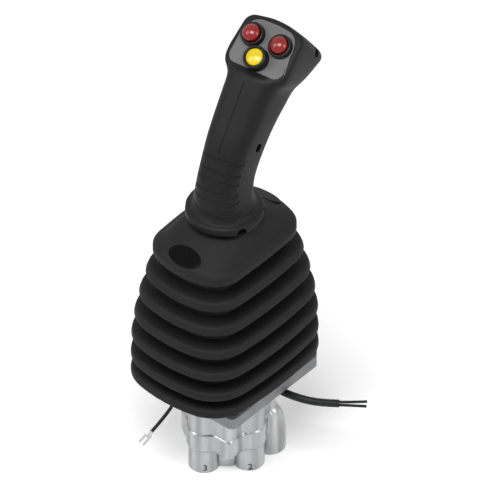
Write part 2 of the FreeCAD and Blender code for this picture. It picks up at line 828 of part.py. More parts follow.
# Grip sections: lean from upright in degrees, centre's y and rise above the collar, half depth and
# half width as shares of the grip's, and the corner's radius as a share of the smaller half
GRIP_SECTIONS = [
    (0.0, -0.2, 0.0, 1.09, 1.15, 0.96),
    (2.0, -0.2, 3.2, 1.04, 1.10, 0.90),
    (7.0, -1.4, 10.1, 0.96, 0.98, 0.78),
    (18.0, 2.5, 27.3, 0.95, 0.88, 0.66),
    (25.0, 13.9, 48.4, 0.98, 0.92, 0.62),
    (29.0, 26.1, 64.0, 1.00, 0.98, 0.62),
    (32.0, 39.8, 77.7, 1.14, 0.97, 0.62),
    (35.0, 48.1, 86.5, 1.16, 1.05, 0.62),
]
GRIP_BULGE_X = 1.6
GRIP_BULGE_Y = 2.6


def grip_wire(section):
    lean, centre_y, rise, depth, width, corner = section
    half_y = size("grip_half_depth") * depth
    half_x = size("grip_half_width") * width
    wire = bulged(half_x, half_y, corner * min(half_x, half_y), GRIP_BULGE_X, GRIP_BULGE_Y)
    rotation = FreeCAD.Rotation(Vec(1, 0, 0), -lean)
    return turned(FreeCAD.Placement(Vec(0, centre_y, collar_top() + rise), rotation), wire)


# Head sections in planes parallel to the panel: depth below it, front and back edge, half width at
# the front and at the back, and the radius of the back corners
HEAD_SECTIONS = [
    (0.0, -3.2, 34.8, 23.8, 21.8, 9.5),
    (1.2, -4.4, 36.0, 25.0, 22.8, 10.0),
    (3.2, -5.0, 36.5, 25.6, 23.3, 10.0),
    (14.0, -3.0, 36.9, 25.0, 23.4, 10.0),
    (27.0, 2.0, 37.2, 23.2, 23.4, 9.0),
    (37.0, 8.0, 37.2, 20.5, 23.4, 7.5),
    (43.5, 17.0, 36.8, 17.0, 22.8, 6.5),
    (46.0, 22.0, 35.0, 14.0, 20.0, 5.0),
]
HEAD_FRONT_CORNER = 9.0


def head_wire(section):
    depth, front, back, front_half, back_half, corner = section
    width = back_half / HEAD_SECTIONS[0][4]
    crown = back + size("head_crown") * width
    points = [(front_half, front), (back_half, back), (0, crown), (-back_half, back), (-front_half, front)]
    front_corner = min(HEAD_FRONT_CORNER, front_half / 2)
    radii = [front_corner, corner, size("head_crown_radius") * width, corner, front_corner]
    share = size("head_depth") / HEAD_SECTIONS[-1][0]
    below = FreeCAD.Placement(Vec(0, 0, -depth * share), FreeCAD.Rotation())
    return turned(panel_frame().multiply(below), rounded(points, radii))


# Panel outline beside the middle line: share of its half width, share of its length, corner radius
PANEL_TOP_RADIUS = 60.0
PANEL_POINTS = [(0.88, 0.0, 6.0), (1.02, 0.17, 7.0), (0.93, 0.40, 20.0), (0.95, 0.60, 20.0), (0.84, 0.97, 11.0)]


def panel_wire(grow=0.0):
    """The grey panel's outline: waisted sides and rounded corners."""
    half = size("panel_half_width")
    long = size("panel_length")
    right = [(half * x + grow, long * w + (grow if w > 0.5 else -grow * (w == 0))) for x, w, r in PANEL_POINTS]
    top = [(0, long + grow)]
    left = [(-x, w) for x, w in reversed(right)]
    radii = [r for x, w, r in PANEL_POINTS]
    return rounded(right + top + left, radii + [PANEL_TOP_RADIUS] + radii[::-1])


def button_spots():
    side_x = size("button_side_x")
    side_w = size("button_side_w")
    return {
        "red_left": Vec(-side_x, side_w, 0),
        "red_right": Vec(side_x, side_w, 0),
        "yellow": Vec(0, size("button_middle_w"), 0),
    }


def shell_screw_spots():
    """Screws through both half shells: y, and z above the collar, in the handle's frame."""
    return [(16.0, collar_top() + 48.9), (78.0, collar_top() + 94.6)]


def grip_solid():
    grip = Part.makeLoft([grip_wire(s) for s in GRIP_SECTIONS], True, False)
    head = Part.makeLoft([head_wire(s) for s in HEAD_SECTIONS], True, False)
    solid = grip.fuse(head)
    frame = panel_frame()
    recess = prism(panel_wire(size("panel_gap")), -size("panel_recess"), size("panel_thick"))
    recess.Placement = frame
    cuts = [recess]
    for spot in button_spots().values():
        depth = size("button_body_depth")
        well = Part.makeCylinder(size("button_collar_radius"), depth, spot - Vec(0, 0, depth))
        well.Placement = frame
        cuts.append(well)
    cuts.append(Part.makeCylinder(size("rod_radius"), size("rod_in_grip"), Vec(0, 0, collar_top())))
    return solid.cut(Part.makeCompound(cuts))


def half_shell(solid, side):
    """One moulded half of the grip, split on the handle's own centre plane."""
    bounds = solid.BoundBox
    reach = bounds.XLength
    corner = Vec(0 if side > 0 else -reach, bounds.YMin - 1, bounds.ZMin - 1)
    half = solid.common(Part.makeBox(reach, bounds.YLength + 2, bounds.ZLength + 2, corner))
    cuts = []
    for y, z in shell_screw_spots():
        radius = size("shell_screw_radius")
        cuts.append(Part.makeCylinder(radius, 2 * reach, Vec(-reach, y, z), Vec(1, 0, 0)))
    return half.cut(Part.makeCompound(cuts))


def shell_screws():
    half = size("shell_screw_half_length")
    radius = size("shell_screw_radius")
    solids = []
    for y, z in shell_screw_spots():
        solids.append(Part.makeCylinder(radius, 2 * half, Vec(-half, y, z), Vec(1, 0, 0)))
    return Part.makeCompound(solids)


def button_panel():
    thick = size("panel_thick")
    plate = prism(panel_wire(), -size("panel_recess"), thick - size("panel_recess"))
    for spot in button_spots().values():
        below = spot - Vec(0, 0, size("button_body_depth"))
        plate = plate.cut(Part.makeCylinder(size("button_collar_radius"), 2 * size("button_body_depth"), below))
    plate.Placement = panel_frame()
    return plate


def button_collar(key):
    rise = size("button_middle_rise") if key == "yellow" else size("button_side_rise")
    depth = size("button_body_depth")
    radius = size("button_collar_radius")
    bore = size("button_bore_radius")
    lip = size("button_lip")
    mouth = size("button_mouth")
    floor = size("button_floor") - depth
    points = [
        (0, -depth),
        (radius, -depth),
        (radius, rise - lip),
        (radius - lip, rise),
        (bore + mouth, rise),
        (bore, rise - mouth),
        (bore, floor),
        (0, floor),
    ]
    return turned_solid(points, button_spots()[key])


def button_cap(key):
    top = size("button_middle_cap") if key == "yellow" else size("button_side_cap")
    radius = size("button_cap_radius")
    crown = size("button_middle_crown") if key == "yellow" else size("button_side_crown")
    floor = size("button_floor") - size("button_body_depth")
    foot = floor + size("button_travel") + size("button_gap")
    ball = (radius**2 + crown**2) / (2 * crown)
    edges = [
        Part.LineSegment(Vec(0, 0, foot), Vec(radius, 0, foot)).toShape(),
        Part.LineSegment(Vec(radius, 0, foot), Vec(radius, 0, top - crown)).toShape(),
    ]
    angle = math.asin(radius / ball) / 2
    middle = Vec(ball * math.sin(angle), 0, top - ball + ball * math.cos(angle))
    edges.append(Part.Arc(Vec(radius, 0, top - crown), middle, Vec(0, 0, top)).toShape())
    edges.append(Part.LineSegment(Vec(0, 0, top), Vec(0, 0, foot)).toShape())
    solid = Part.Face(Part.Wire(edges)).revolve(Vec(0, 0, 0), Vec(0, 0, 1), 360)
    solid.translate(button_spots()[key])
    solid.Placement = panel_frame().multiply(solid.Placement)
    return solid


def turned_solid(points, spot):
    wire = Part.makePolygon([Vec(r, 0, z) for r, z in points + points[:1]])
    solid = Part.Face(wire).revolve(Vec(0, 0, 0), Vec(0, 0, 1), 360)
    solid.translate(spot)
    solid.Placement = panel_frame().multiply(solid.Placement)
    return solid


# Cords: straight runs joined by tangent arcs

CABLE_ROUTE = [
    Vec(29.5, 15.4, -9.0),
    Vec(41.0, 15.4, -9.0),
    Vec(53.3, 18.3, -9.4),
    Vec(64.6, 24.4, -10.8),
    Vec(74.7, 33.8, -12.0),
]
CORE_ROUTES = {
    "core_wire_upper": [Vec(74.79, 33.88, -10.61), Vec(79.89, 38.63, -11.22), Vec(88.0, 47.9, -12.1)],
    "core_wire_lower": [Vec(74.61, 33.72, -13.39), Vec(79.71, 38.47, -14.0), Vec(88.6, 46.6, -15.3)],
}
LEAD_ROUTE = [
    Vec(-12.0, -38.0, -0.5),
    Vec(-12.0, -38.0, -9.5),
    Vec(-14.2, -45.4, -19.6),
    Vec(-18.0, -56.4, -29.4),
]


def cord(route, radius, label):
    """A tube along straight runs joined by arcs as large as each pair of runs allows."""
    edges = []
    here = route[0]
    for before, corner, after in zip(route, route[1:], route[2:]):
        back = (before - corner).normalize()
        on = (after - corner).normalize()
        half = back.getAngle(on) / 2
        leg = 0.45 * min((before - corner).Length, (after - corner).Length)
        bend = leg * math.tan(half)
        start, end = corner + back * leg, corner + on * leg
        inside = corner + (back + on).normalize() * (bend / math.sin(half) - bend)
        edges.append(Part.LineSegment(here, start).toShape())
        edges.append(Part.Arc(start, inside, end).toShape())
        here = end
        print(label, "bend radius", round(bend, 1))
    edges.append(Part.LineSegment(here, route[-1]).toShape())
    path = Part.Wire(edges)
    way = (route[1] - route[0]).normalize()
    section = Part.Wire([Part.Circle(route[0], way, radius).toShape()])
    tube = path.makePipeShell([section], True, False)
    ideal = math.pi * radius**2 * path.Length
    print(label, "length", round(path.Length, 1), "volume share", round(tube.Volume / ideal, 4))
    return tube


def cable_gland():
    at, way = gland_axis()
    edge = size("gland_edge")
    straight = size("gland_length") - edge
    collar = Part.makeCylinder(size("gland_radius"), straight, at, way)
    nose = size("gland_radius") - size("gland_edge_in")
    return collar.fuse(Part.makeCylinder(nose, edge, at + way * straight, way))


def lead_grommet():
    """A grommet that fills the hole in the plate through which the earth lead leaves."""
    radius = size("grommet_radius")
    thick = size("grommet_flange_thick")
    at = Vec(LEAD_ROUTE[0].x, LEAD_ROUTE[0].y, -thick)
    sleeve = Part.makeCylinder(radius, size("grommet_length"), at)
    return sleeve.fuse(Part.makeCylinder(radius + size("grommet_flange"), thick, at))


def fork_terminal():
    """An open fork crimped on the earth lead's end; local z runs on along the lead."""
    barrel_length = size("terminal_barrel")
    thick = size("terminal_thick")
    width = size("terminal_width")
    slot = size("terminal_slot")
    palm = size("terminal_palm")
    barrel = Part.makeCylinder(size("lead_radius") + size("terminal_wall"), barrel_length)
    neck = Part.makeBox(width, thick, palm, Vec(-width / 2, -thick / 2, barrel_length))
    solids = [barrel, neck]
    prong = (width - slot) / 2
    for start in (-width / 2, slot / 2):
        corner = Vec(start, -thick / 2, barrel_length + palm)
        solids.append(Part.makeBox(prong, thick, size("terminal_prong"), corner))
    solid = solids[0].multiFuse(solids[1:])
    way = (LEAD_ROUTE[-1] - LEAD_ROUTE[-2]).normalize()
    rotation = FreeCAD.Rotation(Vec(0, 0, 1), way)
    spin = FreeCAD.Rotation(Vec(0, 0, 1), size("terminal_spin"))
    solid.Placement = FreeCAD.Placement(LEAD_ROUTE[-1], rotation.multiply(spin))
    return solid


# The pieces

NODES = []


def add(item):
    NODES.append(item)
    return item


add(feature("valve_body", valve_body()))
add(feature("mounting_plate", mounting_plate()))
add(feature("gaiter_frame", gaiter_frame()))
DIAGONALS = ((1, 1), (-1, 1), (-1, -1), (1, -1))
add(
    screws(
        "body_screws",
        [(x * size("body_screw_half"), y * size("body_screw_half")) for x, y in DIAGONALS],
        size("body_screw_radius"),
        size("body_screw_length"),
        size("body_screw_head_radius"),
        size("body_screw_head"),
        size("plate_thick") - size("body_screw_head"),
    )
)
add(
    screws(
        "frame_screws",
        [(x * size("frame_screw_ring"), y * size("frame_screw_ring")) for x, y in QUARTERS.values()],
        size("frame_screw_radius"),
        size("frame_screw_length"),
        2 * size("frame_screw_radius"),
        size("frame_screw_head"),
        size("plate_thick") + size("frame_thick"),
    )
)

for side, (x, y) in QUARTERS.items():
    guide = revolved(
        "guide_" + side,
        [
            ("plunger_radius + running_fit", "0 - guide_depth"),
            ("guide_radius", "0 - guide_depth"),
            ("guide_radius", "plate_thick"),
            ("guide_head_radius", "plate_thick"),
            ("guide_head_radius", "plate_thick + guide_head"),
            ("guide_radius", "plate_thick + guide_head"),
            ("guide_radius", "guide_top"),
            ("plunger_radius + running_fit", "guide_top"),
        ],
    )
    place(guide, ring_text("plunger_ring", x), ring_text("plunger_ring", y))
    add(guide)
    wiper = revolved(
        "wiper_" + side,
        [
            ("plunger_radius + running_fit", "guide_top"),
            ("wiper_radius", "guide_top"),
            ("wiper_radius", "guide_top + wiper_thick - wiper_edge"),
            ("plunger_radius + running_fit + wiper_lip", "guide_top + wiper_thick"),
            ("plunger_radius + running_fit", "guide_top + wiper_thick"),
        ],
    )
    place(wiper, ring_text("plunger_ring", x), ring_text("plunger_ring", y))
    add(wiper)
    rod = cylinder("plunger_rod_" + side, "plunger_radius", "plunger_length", z="pivot_height - plunger_length")
    tip = doc.addObject("Part::Sphere", "plunger_tip_" + side)
    bind(tip, Radius="plunger_radius")
    place(tip, z="pivot_height")
    plunger = fuse("plunger_" + side, [rod, tip])
    place(plunger, ring_text("plunger_ring", x), ring_text("plunger_ring", y))
    add(plunger)

add(feature("joint_base", joint_base()))
add(feature("joint_cross", joint_cross()))
add(feature("joint_fork", joint_fork()))

bridge_top = "pivot_height + joint_bridge + joint_bridge_thick"
hat_top = bridge_top + " + cam_hat_top"
cam_low = "pivot_height + plunger_radius + cam_gap"
add(
    revolved(
        "cam_plate",
        [
            ("stud_radius", bridge_top),
            ("cam_hat_radius", bridge_top),
            ("cam_hat_radius", cam_low),
            ("cam_radius", cam_low),
            ("cam_radius", cam_low + " + cam_thick"),
            ("cam_hat_radius + cam_hat_wall", cam_low + " + cam_thick"),
            ("cam_hat_radius + cam_hat_wall - cam_hat_taper", hat_top),
            ("stud_radius", hat_top),
        ],
    )
)

nut = doc.addObject("Part::Prism", "lock_nut_hex")
nut.Polygon = 6
bind(nut, Circumradius="nut_across_flats / sqrt(3)", Height="nut_thick")
place(nut, z=hat_top)
nut_bore = cylinder("lock_nut_bore", "stud_radius", "nut_thick", z=hat_top)
add(cut("lock_nut", nut, [nut_bore]))

rod_low = hat_top + " + nut_thick"
rod_top = "gaiter_cap_level + collar_rise + collar_height + rod_in_grip"
rod_bar = cylinder("lever_rod_bar", "rod_radius", f"{rod_top} - ({rod_low})", z=rod_low)
stud_end = bridge_top + " + stud_length"
rod_socket = cylinder("lever_rod_socket", "stud_radius", f"({stud_end}) - ({rod_low})", z=rod_low)
add(cut("lever_rod", rod_bar, [rod_socket]))

add(feature("gaiter_folds", gaiter_folds()))
add(feature("gaiter_cap", gaiter_cap()))
add(feature("badge_front", badge(-1, size("badge_thick"))))
add(feature("badge_back", badge(1, size("badge_thick"))))

add(feature("handle_collar", handle_collar(), handle_frame()))
add(feature("collar_set_screws", collar_set_screws(), handle_frame()))
whole_grip = grip_solid()
add(feature("grip_shell_left", half_shell(whole_grip, -1), handle_frame()))
add(feature("grip_shell_right", half_shell(whole_grip, 1), handle_frame()))
add(feature("shell_screws", shell_screws(), handle_frame()))


def on_handle(name, shape):
    shape.Placement = handle_frame().multiply(shape.Placement)
    return add(feature(name, Part.makeCompound([shape]) if shape.ShapeType != "Solid" else shape))


on_handle("button_panel", button_panel())
for key in button_spots():
    on_handle("button_body_" + key, button_collar(key))
    on_handle("button_cap_" + key, button_cap(key))

add(feature("cable_gland", cable_gland()))
add(feature("cable", cord(CABLE_ROUTE, size("cable_radius"), "cable")))
for name, route in CORE_ROUTES.items():
    add(feature(name, cord(route, size("core_wire_radius"), name)))
add(feature("lead_grommet", lead_grommet()))
add(feature("earth_lead", cord(LEAD_ROUTE, size("lead_radius"), "earth_lead")))
add(feature("fork_terminal", fork_terminal()))

doc.recompute()
for item in doc.Objects:
    if "Invalid" in item.State or "Error" in item.State:
        raise RuntimeError(f"{item.Name} failed: {item.State}")
os.makedirs("parts", exist_ok=True)
for item in NODES:
    shape = item.Shape
    if shape.isNull() or not shape.isValid() or not shape.Solids:
        raise RuntimeError(f"{item.Label} has no valid solid")
for item in NODES:
    item.Shape.exportStep(f"parts/{item.Label}.step")
print(len(NODES), "nodes")
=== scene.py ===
import math

import bpy
from mathutils import Matrix, Vector
from mathutils.bvhtree import BVHTree


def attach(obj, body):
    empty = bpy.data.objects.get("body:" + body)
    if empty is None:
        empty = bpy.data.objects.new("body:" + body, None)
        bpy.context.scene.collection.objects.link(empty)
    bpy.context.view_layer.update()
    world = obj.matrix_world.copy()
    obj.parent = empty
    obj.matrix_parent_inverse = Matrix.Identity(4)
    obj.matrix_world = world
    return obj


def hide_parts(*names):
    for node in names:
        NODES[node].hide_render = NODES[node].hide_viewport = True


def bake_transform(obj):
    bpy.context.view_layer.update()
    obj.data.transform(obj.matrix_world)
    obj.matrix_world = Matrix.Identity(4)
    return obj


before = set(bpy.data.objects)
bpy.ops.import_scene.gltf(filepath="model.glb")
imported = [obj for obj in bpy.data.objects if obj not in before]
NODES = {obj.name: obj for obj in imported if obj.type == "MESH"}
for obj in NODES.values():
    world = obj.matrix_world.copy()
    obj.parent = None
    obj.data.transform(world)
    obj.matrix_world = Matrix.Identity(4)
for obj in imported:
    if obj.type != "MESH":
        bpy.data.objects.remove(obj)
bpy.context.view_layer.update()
MM = 0.001

# Camera: the photograph's viewing angle, from the operator's right hand and above, without perspective

VIEW_AZIMUTH = math.radians(40.2)
VIEW_ELEVATION = math.radians(41.06)
VIEW_TARGET = Vector((13.3, 11.3, 108.8)) * MM
VIEW_WIDTH = 344.8 * MM
VIEW_DISTANCE = 2.0


def view_back():
    """The direction from the object to the camera."""
    flat = math.cos(VIEW_ELEVATION)
    return Vector((
        math.sin(VIEW_AZIMUTH) * flat,
        -math.cos(VIEW_AZIMUTH) * flat,
        math.sin(VIEW_ELEVATION),
    ))


def make_camera():
    bpy.ops.object.camera_add()
    camera = bpy.context.object
    camera.name = "photo_camera"
    camera.location = VIEW_TARGET + view_back() * VIEW_DISTANCE
    camera.rotation_mode = "QUATERNION"
    camera.rotation_quaternion = (-view_back()).to_track_quat("-Z", "Y")
    camera.data.type = "ORTHO"
    camera.data.ortho_scale = VIEW_WIDTH
    camera.data.clip_start = 0.1
    camera.data.clip_end = 20
    bpy.context.scene.camera = camera


# Cords: the routes of the part's source, in metres

CABLE_ROUTE = [
    (0.0295, 0.0154, -0.0090),
    (0.0410, 0.0154, -0.0090),
    (0.0533, 0.0183, -0.0094),
    (0.0646, 0.0244, -0.0108),
    (0.0747, 0.0338, -0.0120),
]
UPPER_CORE_ROUTE = [
    (0.07479, 0.03388, -0.01061),
    (0.07989, 0.03863, -0.01122),
    (0.08800, 0.04790, -0.01210),
]
LOWER_CORE_ROUTE = [
    (0.07461, 0.03372, -0.01339),
    (0.07971, 0.03847, -0.01400),
    (0.08860, 0.04660, -0.01530),
]
EARTH_LEAD_ROUTE = [
    (-0.0120, -0.0380, -0.0005),
    (-0.0120, -0.0380, -0.0095),
    (-0.0142, -0.0454, -0.0196),
    (-0.0180, -0.0564, -0.0294),
]
CABLE_RADIUS = 2.75 * MM
CORE_RADIUS = 1.0 * MM
LEAD_RADIUS = 1.25 * MM


def make_cord(name, route, radius):
    """A tube on one smooth spline whose control points are the route."""
    data = bpy.data.curves.new(name, "CURVE")
    data.dimensions = "3D"
    spline = data.splines.new("NURBS")
    spline.points.add(len(route) - 1)
    for point, place in zip(spline.points, route):
        point.co = (*place, 1.0)
    spline.order_u = 3
    spline.use_endpoint_u = True
    spline.resolution_u = 16
    data.bevel_depth = radius
    data.bevel_resolution = 6
    data.use_fill_caps = True
    cord = bpy.data.objects.new(name, data)
    bpy.context.scene.collection.objects.link(cord)
    return cord


# Materials

def linear(code):
    """The linear colour of an sRGB hex value such as 3a3b3d."""
    channels = [int(code[i:i + 2], 16) / 255 for i in (0, 2, 4)]
    return [c / 12.92 if c <= 0.04045 else ((c + 0.055) / 1.055) ** 2.4 for c in channels] + [1.0]


def add_node(tree, kind, values=None, links=None, **settings):
    """One node, with its sockets' values, the links into its sockets and its settings."""
    node = tree.nodes.new(kind)
    for name, value in settings.items():
        setattr(node, name, value)
    for name, value in (values or {}).items():
        node.inputs[name].default_value = value
    for name, source in (links or {}).items():
        tree.links.new(source, node.inputs[name])
    return node


def new_material(name, base, **values):
    """A material with a principled shader; its colour is the base unless something is linked to it."""
    material = bpy.data.materials.new(name)
    material.use_nodes = True
    tree = material.node_tree
    tree.nodes.clear()
    shader = add_node(tree, "ShaderNodeBsdfPrincipled", {"Base Color": linear(base), **values})
    add_node(tree, "ShaderNodeOutputMaterial", links={"Surface": shader.outputs["BSDF"]})
    return material, tree, shader


def object_noise(tree, size, detail=2.0, upright=1.0):
    """Noise on object coordinates with blobs of about that size in metres, taller where upright is below 1."""
    place = add_node(tree, "ShaderNodeTexCoord")
    drawn = add_node(
        tree, "ShaderNodeMapping", {"Scale": (1.0, 1.0, upright)}, {"Vector": place.outputs["Object"]}
    )
    return add_node(
        tree,
        "ShaderNodeTexNoise",
        {"Scale": 1.0 / size, "Detail": detail},
        {"Vector": drawn.outputs["Vector"]},
    )


def colour_drift(tree, shader, source, dark, light, low=0.35, high=0.65):
    """Lets the colour wander between two near tones with a texture."""
    ramp = add_node(tree, "ShaderNodeValToRGB", links={"Fac": source})
    ramp.color_ramp.elements[0].position = low
    ramp.color_ramp.elements[0].color = linear(dark)
    ramp.color_ramp.elements[1].position = high
    ramp.color_ramp.elements[1].color = linear(light)
    tree.links.new(ramp.outputs["Color"], shader.inputs["Base Color"])


def roughness_drift(tree, shader, source, low, high):
    """Lets the roughness wander between two values with a texture."""
    spread = add_node(
        tree,
        "ShaderNodeMapRange",
        {"To Min": low, "To Max": high},
        {"Value": source},
    )
    tree.links.new(spread.outputs["Result"], shader.inputs["Roughness"])


def bump(tree, shader, source, height, strength=1.0):
    """Relief of that height in metres."""
    relief = add_node(
        tree,
        "ShaderNodeBump",
        {"Distance": height, "Strength": strength},
        {"Height": source},
    )
    tree.links.new(relief.outputs["Normal"], shader.inputs["Normal"])


# A moulded grain breaks up the mirror-like part of a black plastic's reflection
GRAINED = {"Specular IOR Level": 0.15}
DULLED = {"Specular IOR Level": 0.05}
# Sockets of a mix node that mixes colours
MIX_FIRST, MIX_SECOND, MIX_RESULT = 6, 7, 2


def grip_abs():
    """ABS with a spark-eroded grain: soft grey-black that takes a broad, dull highlight."""
    material, tree, shader = new_material(
        "abs_spark_eroded_black", "0f0f0f", Roughness=0.5, IOR=1.53, **GRAINED
    )
    grain = object_noise(tree, 0.7 * MM, detail=3.0)
    drift = object_noise(tree, 18 * MM)
    colour_drift(tree, shader, drift.outputs["Fac"], "0e0e0e", "111111")
    roughness_drift(tree, shader, grain.outputs["Fac"], 0.44, 0.58)
    bump(tree, shader, grain.outputs["Fac"], 0.03 * MM, 0.5)
    return material


def gaiter_rubber():
    """Moulded nitrile rubber whose tone a faint bloom varies at random; the grooves above each fold's rim are
    painted near black as painted shade.
    """
    material, tree, shader = new_material(
        "nitrile_rubber_moulded_black", "171717", Roughness=0.62, IOR=1.52, **GRAINED
    )
    bloom = object_noise(tree, 14 * MM, detail=4.0)
    grain = object_noise(tree, 0.6 * MM)
    colour_drift(tree, shader, bloom.outputs["Fac"], "151515", "1a1a1a")
    faces = shader.inputs["Base Color"].links[0].from_socket
    # Painted shade: the groove mask mixes the rubber's colour towards near black inside the grooves, where the
    # folds shade them
    groove_shade = add_node(tree, "ShaderNodeAttribute", attribute_name="groove_shade")
    painted_shade_mix = add_node(tree, "ShaderNodeMix", data_type="RGBA", links={"Factor": groove_shade.outputs["Fac"]})
    tree.links.new(faces, painted_shade_mix.inputs[MIX_FIRST])
    painted_shade_mix.inputs[MIX_SECOND].default_value = linear("020202")
    tree.links.new(painted_shade_mix.outputs[MIX_RESULT], shader.inputs["Base Color"])
    roughness_drift(tree, shader, bloom.outputs["Fac"], 0.56, 0.7)
    bump(tree, shader, grain.outputs["Fac"], 0.02 * MM, 0.4)
    return material


def panel_abs():
    """Light grey ABS with a satin face."""
    material, tree, shader = new_material("abs_satin_grey", "646363", Roughness=0.42, IOR=1.53, **GRAINED)
    grain = object_noise(tree, 0.6 * MM, detail=3.0)
    drift = object_noise(tree, 12 * MM)
    colour_drift(tree, shader, drift.outputs["Fac"], "616060", "676666")
    roughness_drift(tree, shader, grain.outputs["Fac"], 0.38, 0.48)
    bump(tree, shader, grain.outputs["Fac"], 0.02 * MM, 0.4)
    return material


def cap_acrylic(name, deep, light):
    """A glossy moulded button cap: clear reflections over a deep colour."""
    material, tree, shader = new_material(name, deep, Roughness=0.2, IOR=1.49)
    drift = object_noise(tree, 4 * MM)
    colour_drift(tree, shader, drift.outputs["Fac"], deep, light)
    roughness_drift(tree, shader, drift.outputs["Fac"], 0.17, 0.24)
    return material


def button_nylon():
    """Black nylon of the buttons' collars, smoother than the grip."""
    material, tree, shader = new_material("nylon_smooth_black", "101112", Roughness=0.34, IOR=1.53, **GRAINED)
    drift = object_noise(tree, 3 * MM)
    colour_drift(tree, shader, drift.outputs["Fac"], "0f1011", "131415")
    roughness_drift(tree, shader, drift.outputs["Fac"], 0.3, 0.38)
    return material


def body_aluminium():
    """Bead-blasted aluminium casting: bright, with soft upright streaks on its lobes painted into its colour as
    painted reflections.
    """
    material, tree, shader = new_material("aluminium_casting_blasted", "96979a", Metallic=1.0, Roughness=0.3)
    sand = object_noise(tree, 0.8 * MM, detail=4.0)
    painted_reflection_streaks = object_noise(tree, 6.5 * MM, detail=1.0, upright=0.03)
    # Painted reflection: the colour runs between darker and lighter grey in upright streaks; the roughness follows
    # the same streaks
    colour_drift(tree, shader, painted_reflection_streaks.outputs["Fac"], "8a8b8c", "b4b5b6", low=0.3, high=0.7)
    roughness_drift(tree, shader, painted_reflection_streaks.outputs["Fac"], 0.2, 0.34)
    bump(tree, shader, sand.outputs["Fac"], 0.02 * MM, 0.4)
    return material


def plate_metal():
    """Machined aluminium plate with a dull anodised face."""
    material, tree, shader = new_material("aluminium_anodised_dull", "77787a", Metallic=0.9, Roughness=0.45)
    drift = object_noise(tree, 6 * MM, detail=4.0)
    colour_drift(tree, shader, drift.outputs["Fac"], "727375", "7d7e80")
    roughness_drift(tree, shader, drift.outputs["Fac"], 0.4, 0.5)
    return material


def turned_steel():
    """Turned and ground steel of the joint, plungers and rod."""
    material, tree, shader = new_material("steel_turned", "b9babc", Metallic=1.0, Roughness=0.28)
    drift = object_noise(tree, 1.2 * MM, detail=3.0)
    colour_drift(tree, shader, drift.outputs["Fac"], "b2b3b5", "c0c1c3")
    roughness_drift(tree, shader, drift.outputs["Fac"], 0.22, 0.36)
    return material


def black_steel():
    """Blackened steel of the gaiter's frame and the screws."""
    material, tree, shader = new_material("steel_blackened", "141516", Metallic=0.3, Roughness=0.5)
    drift = object_noise(tree, 2 * MM, detail=3.0)
    colour_drift(tree, shader, drift.outputs["Fac"], "121314", "171819")
    roughness_drift(tree, shader, drift.outputs["Fac"], 0.42, 0.58)
    return material


def bearing_bronze():
    """Turned bronze of the plungers' guides."""
    material, tree, shader = new_material("bronze_turned", "b08a50", Metallic=1.0, Roughness=0.3)
    drift = object_noise(tree, 1.5 * MM, detail=3.0)
    colour_drift(tree, shader, drift.outputs["Fac"], "a8834b", "b79157")
    roughness_drift(tree, shader, drift.outputs["Fac"], 0.25, 0.38)
    return material


def cable_pvc():
    """PVC jacket with the faint ripple of the laid-up cores under it."""
    material, tree, shader = new_material("pvc_jacket_black", "1b1c1d", Roughness=0.42, IOR=1.54, **GRAINED)
    drift = object_noise(tree, 2.5 * MM, detail=2.0)
    colour_drift(tree, shader, drift.outputs["Fac"], "18191a", "202122")
    roughness_drift(tree, shader, drift.outputs["Fac"], 0.36, 0.5)
    bump(tree, shader, drift.outputs["Fac"], 0.05 * MM, 0.4)
    return material


def badge_lacquer():
    """Black lacquer of the two discs on the gaiter's cap."""
    material, tree, shader = new_material("lacquer_gloss_black", "060606", Roughness=0.35, IOR=1.5, **DULLED)
    drift = object_noise(tree, 5 * MM)
    colour_drift(tree, shader, drift.outputs["Fac"], "050505", "070707")
    roughness_drift(tree, shader, drift.outputs["Fac"], 0.3, 0.42)
    return material


def stamped_oxide():
    """The dull dark tone of the figures on the casting."""
    material, tree, shader = new_material("aluminium_stamped_oxide", "4a4b4c", Metallic=0.4, Roughness=0.7)
    drift = object_noise(tree, 1.5 * MM)
    colour_drift(tree, shader, drift.outputs["Fac"], "454647", "505152")
    roughness_drift(tree, shader, drift.outputs["Fac"], 0.62, 0.78)
    return material


MATERIALS = {
    "cast_aluminium": body_aluminium(),
    "plate_metal": plate_metal(),
    "steel": turned_steel(),
    "black_screws": black_steel(),
    "black_rubber": gaiter_rubber(),
    "black_plastic": grip_abs(),
    "grey_plastic": panel_abs(),
    "red_plastic": cap_acrylic("acrylic_gloss_red", "740000", "820101"),
    "yellow_plastic": cap_acrylic("acrylic_gloss_yellow", "c9ac02", "d6bb08"),
    "cable_jacket": cable_pvc(),
    "bronze": bearing_bronze(),
    "badge": badge_lacquer(),
    "button_black": button_nylon(),
    "oxide": stamped_oxide(),
}

SIDES = ("right", "back", "left", "front")
NODE_FINISH = {
    "cast_aluminium": ["valve_body"],
    "plate_metal": ["mounting_plate"],
    "black_screws": ["gaiter_frame", "body_screws", "frame_screws", "collar_set_screws", "shell_screws"],
    "steel": [
        "joint_base", "joint_cross", "joint_fork", "cam_plate", "lock_nut", "lever_rod", "fork_terminal",
        *("plunger_" + side for side in SIDES),
    ],
    "bronze": ["guide_" + side for side in SIDES],
    "black_rubber": [
        "gaiter_folds", "gaiter_cap", "lead_grommet", "cable_gland", *("wiper_" + side for side in SIDES),
    ],
    "black_plastic": ["grip_shell_left", "grip_shell_right", "handle_collar"],
    "button_black": ["button_body_red_left", "button_body_red_right", "button_body_yellow"],
    "grey_plastic": ["button_panel"],
    "red_plastic": ["button_cap_red_left", "button_cap_red_right"],
    "yellow_plastic": ["button_cap_yellow"],
    "cable_jacket": ["cable", "core_wire_upper", "core_wire_lower", "earth_lead"],
    "badge": ["badge_front", "badge_back"],
}


def finish(piece, finish_name):
    piece.data.materials.clear()
    piece.data.materials.append(MATERIALS[finish_name])


def finish_nodes():
    for finish_name, names in NODE_FINISH.items():
        for name in names:
            finish(NODES[name], finish_name)


# Outlines, in millimetres

SIDE_STEPS = 8
CORNER_STEPS = 12


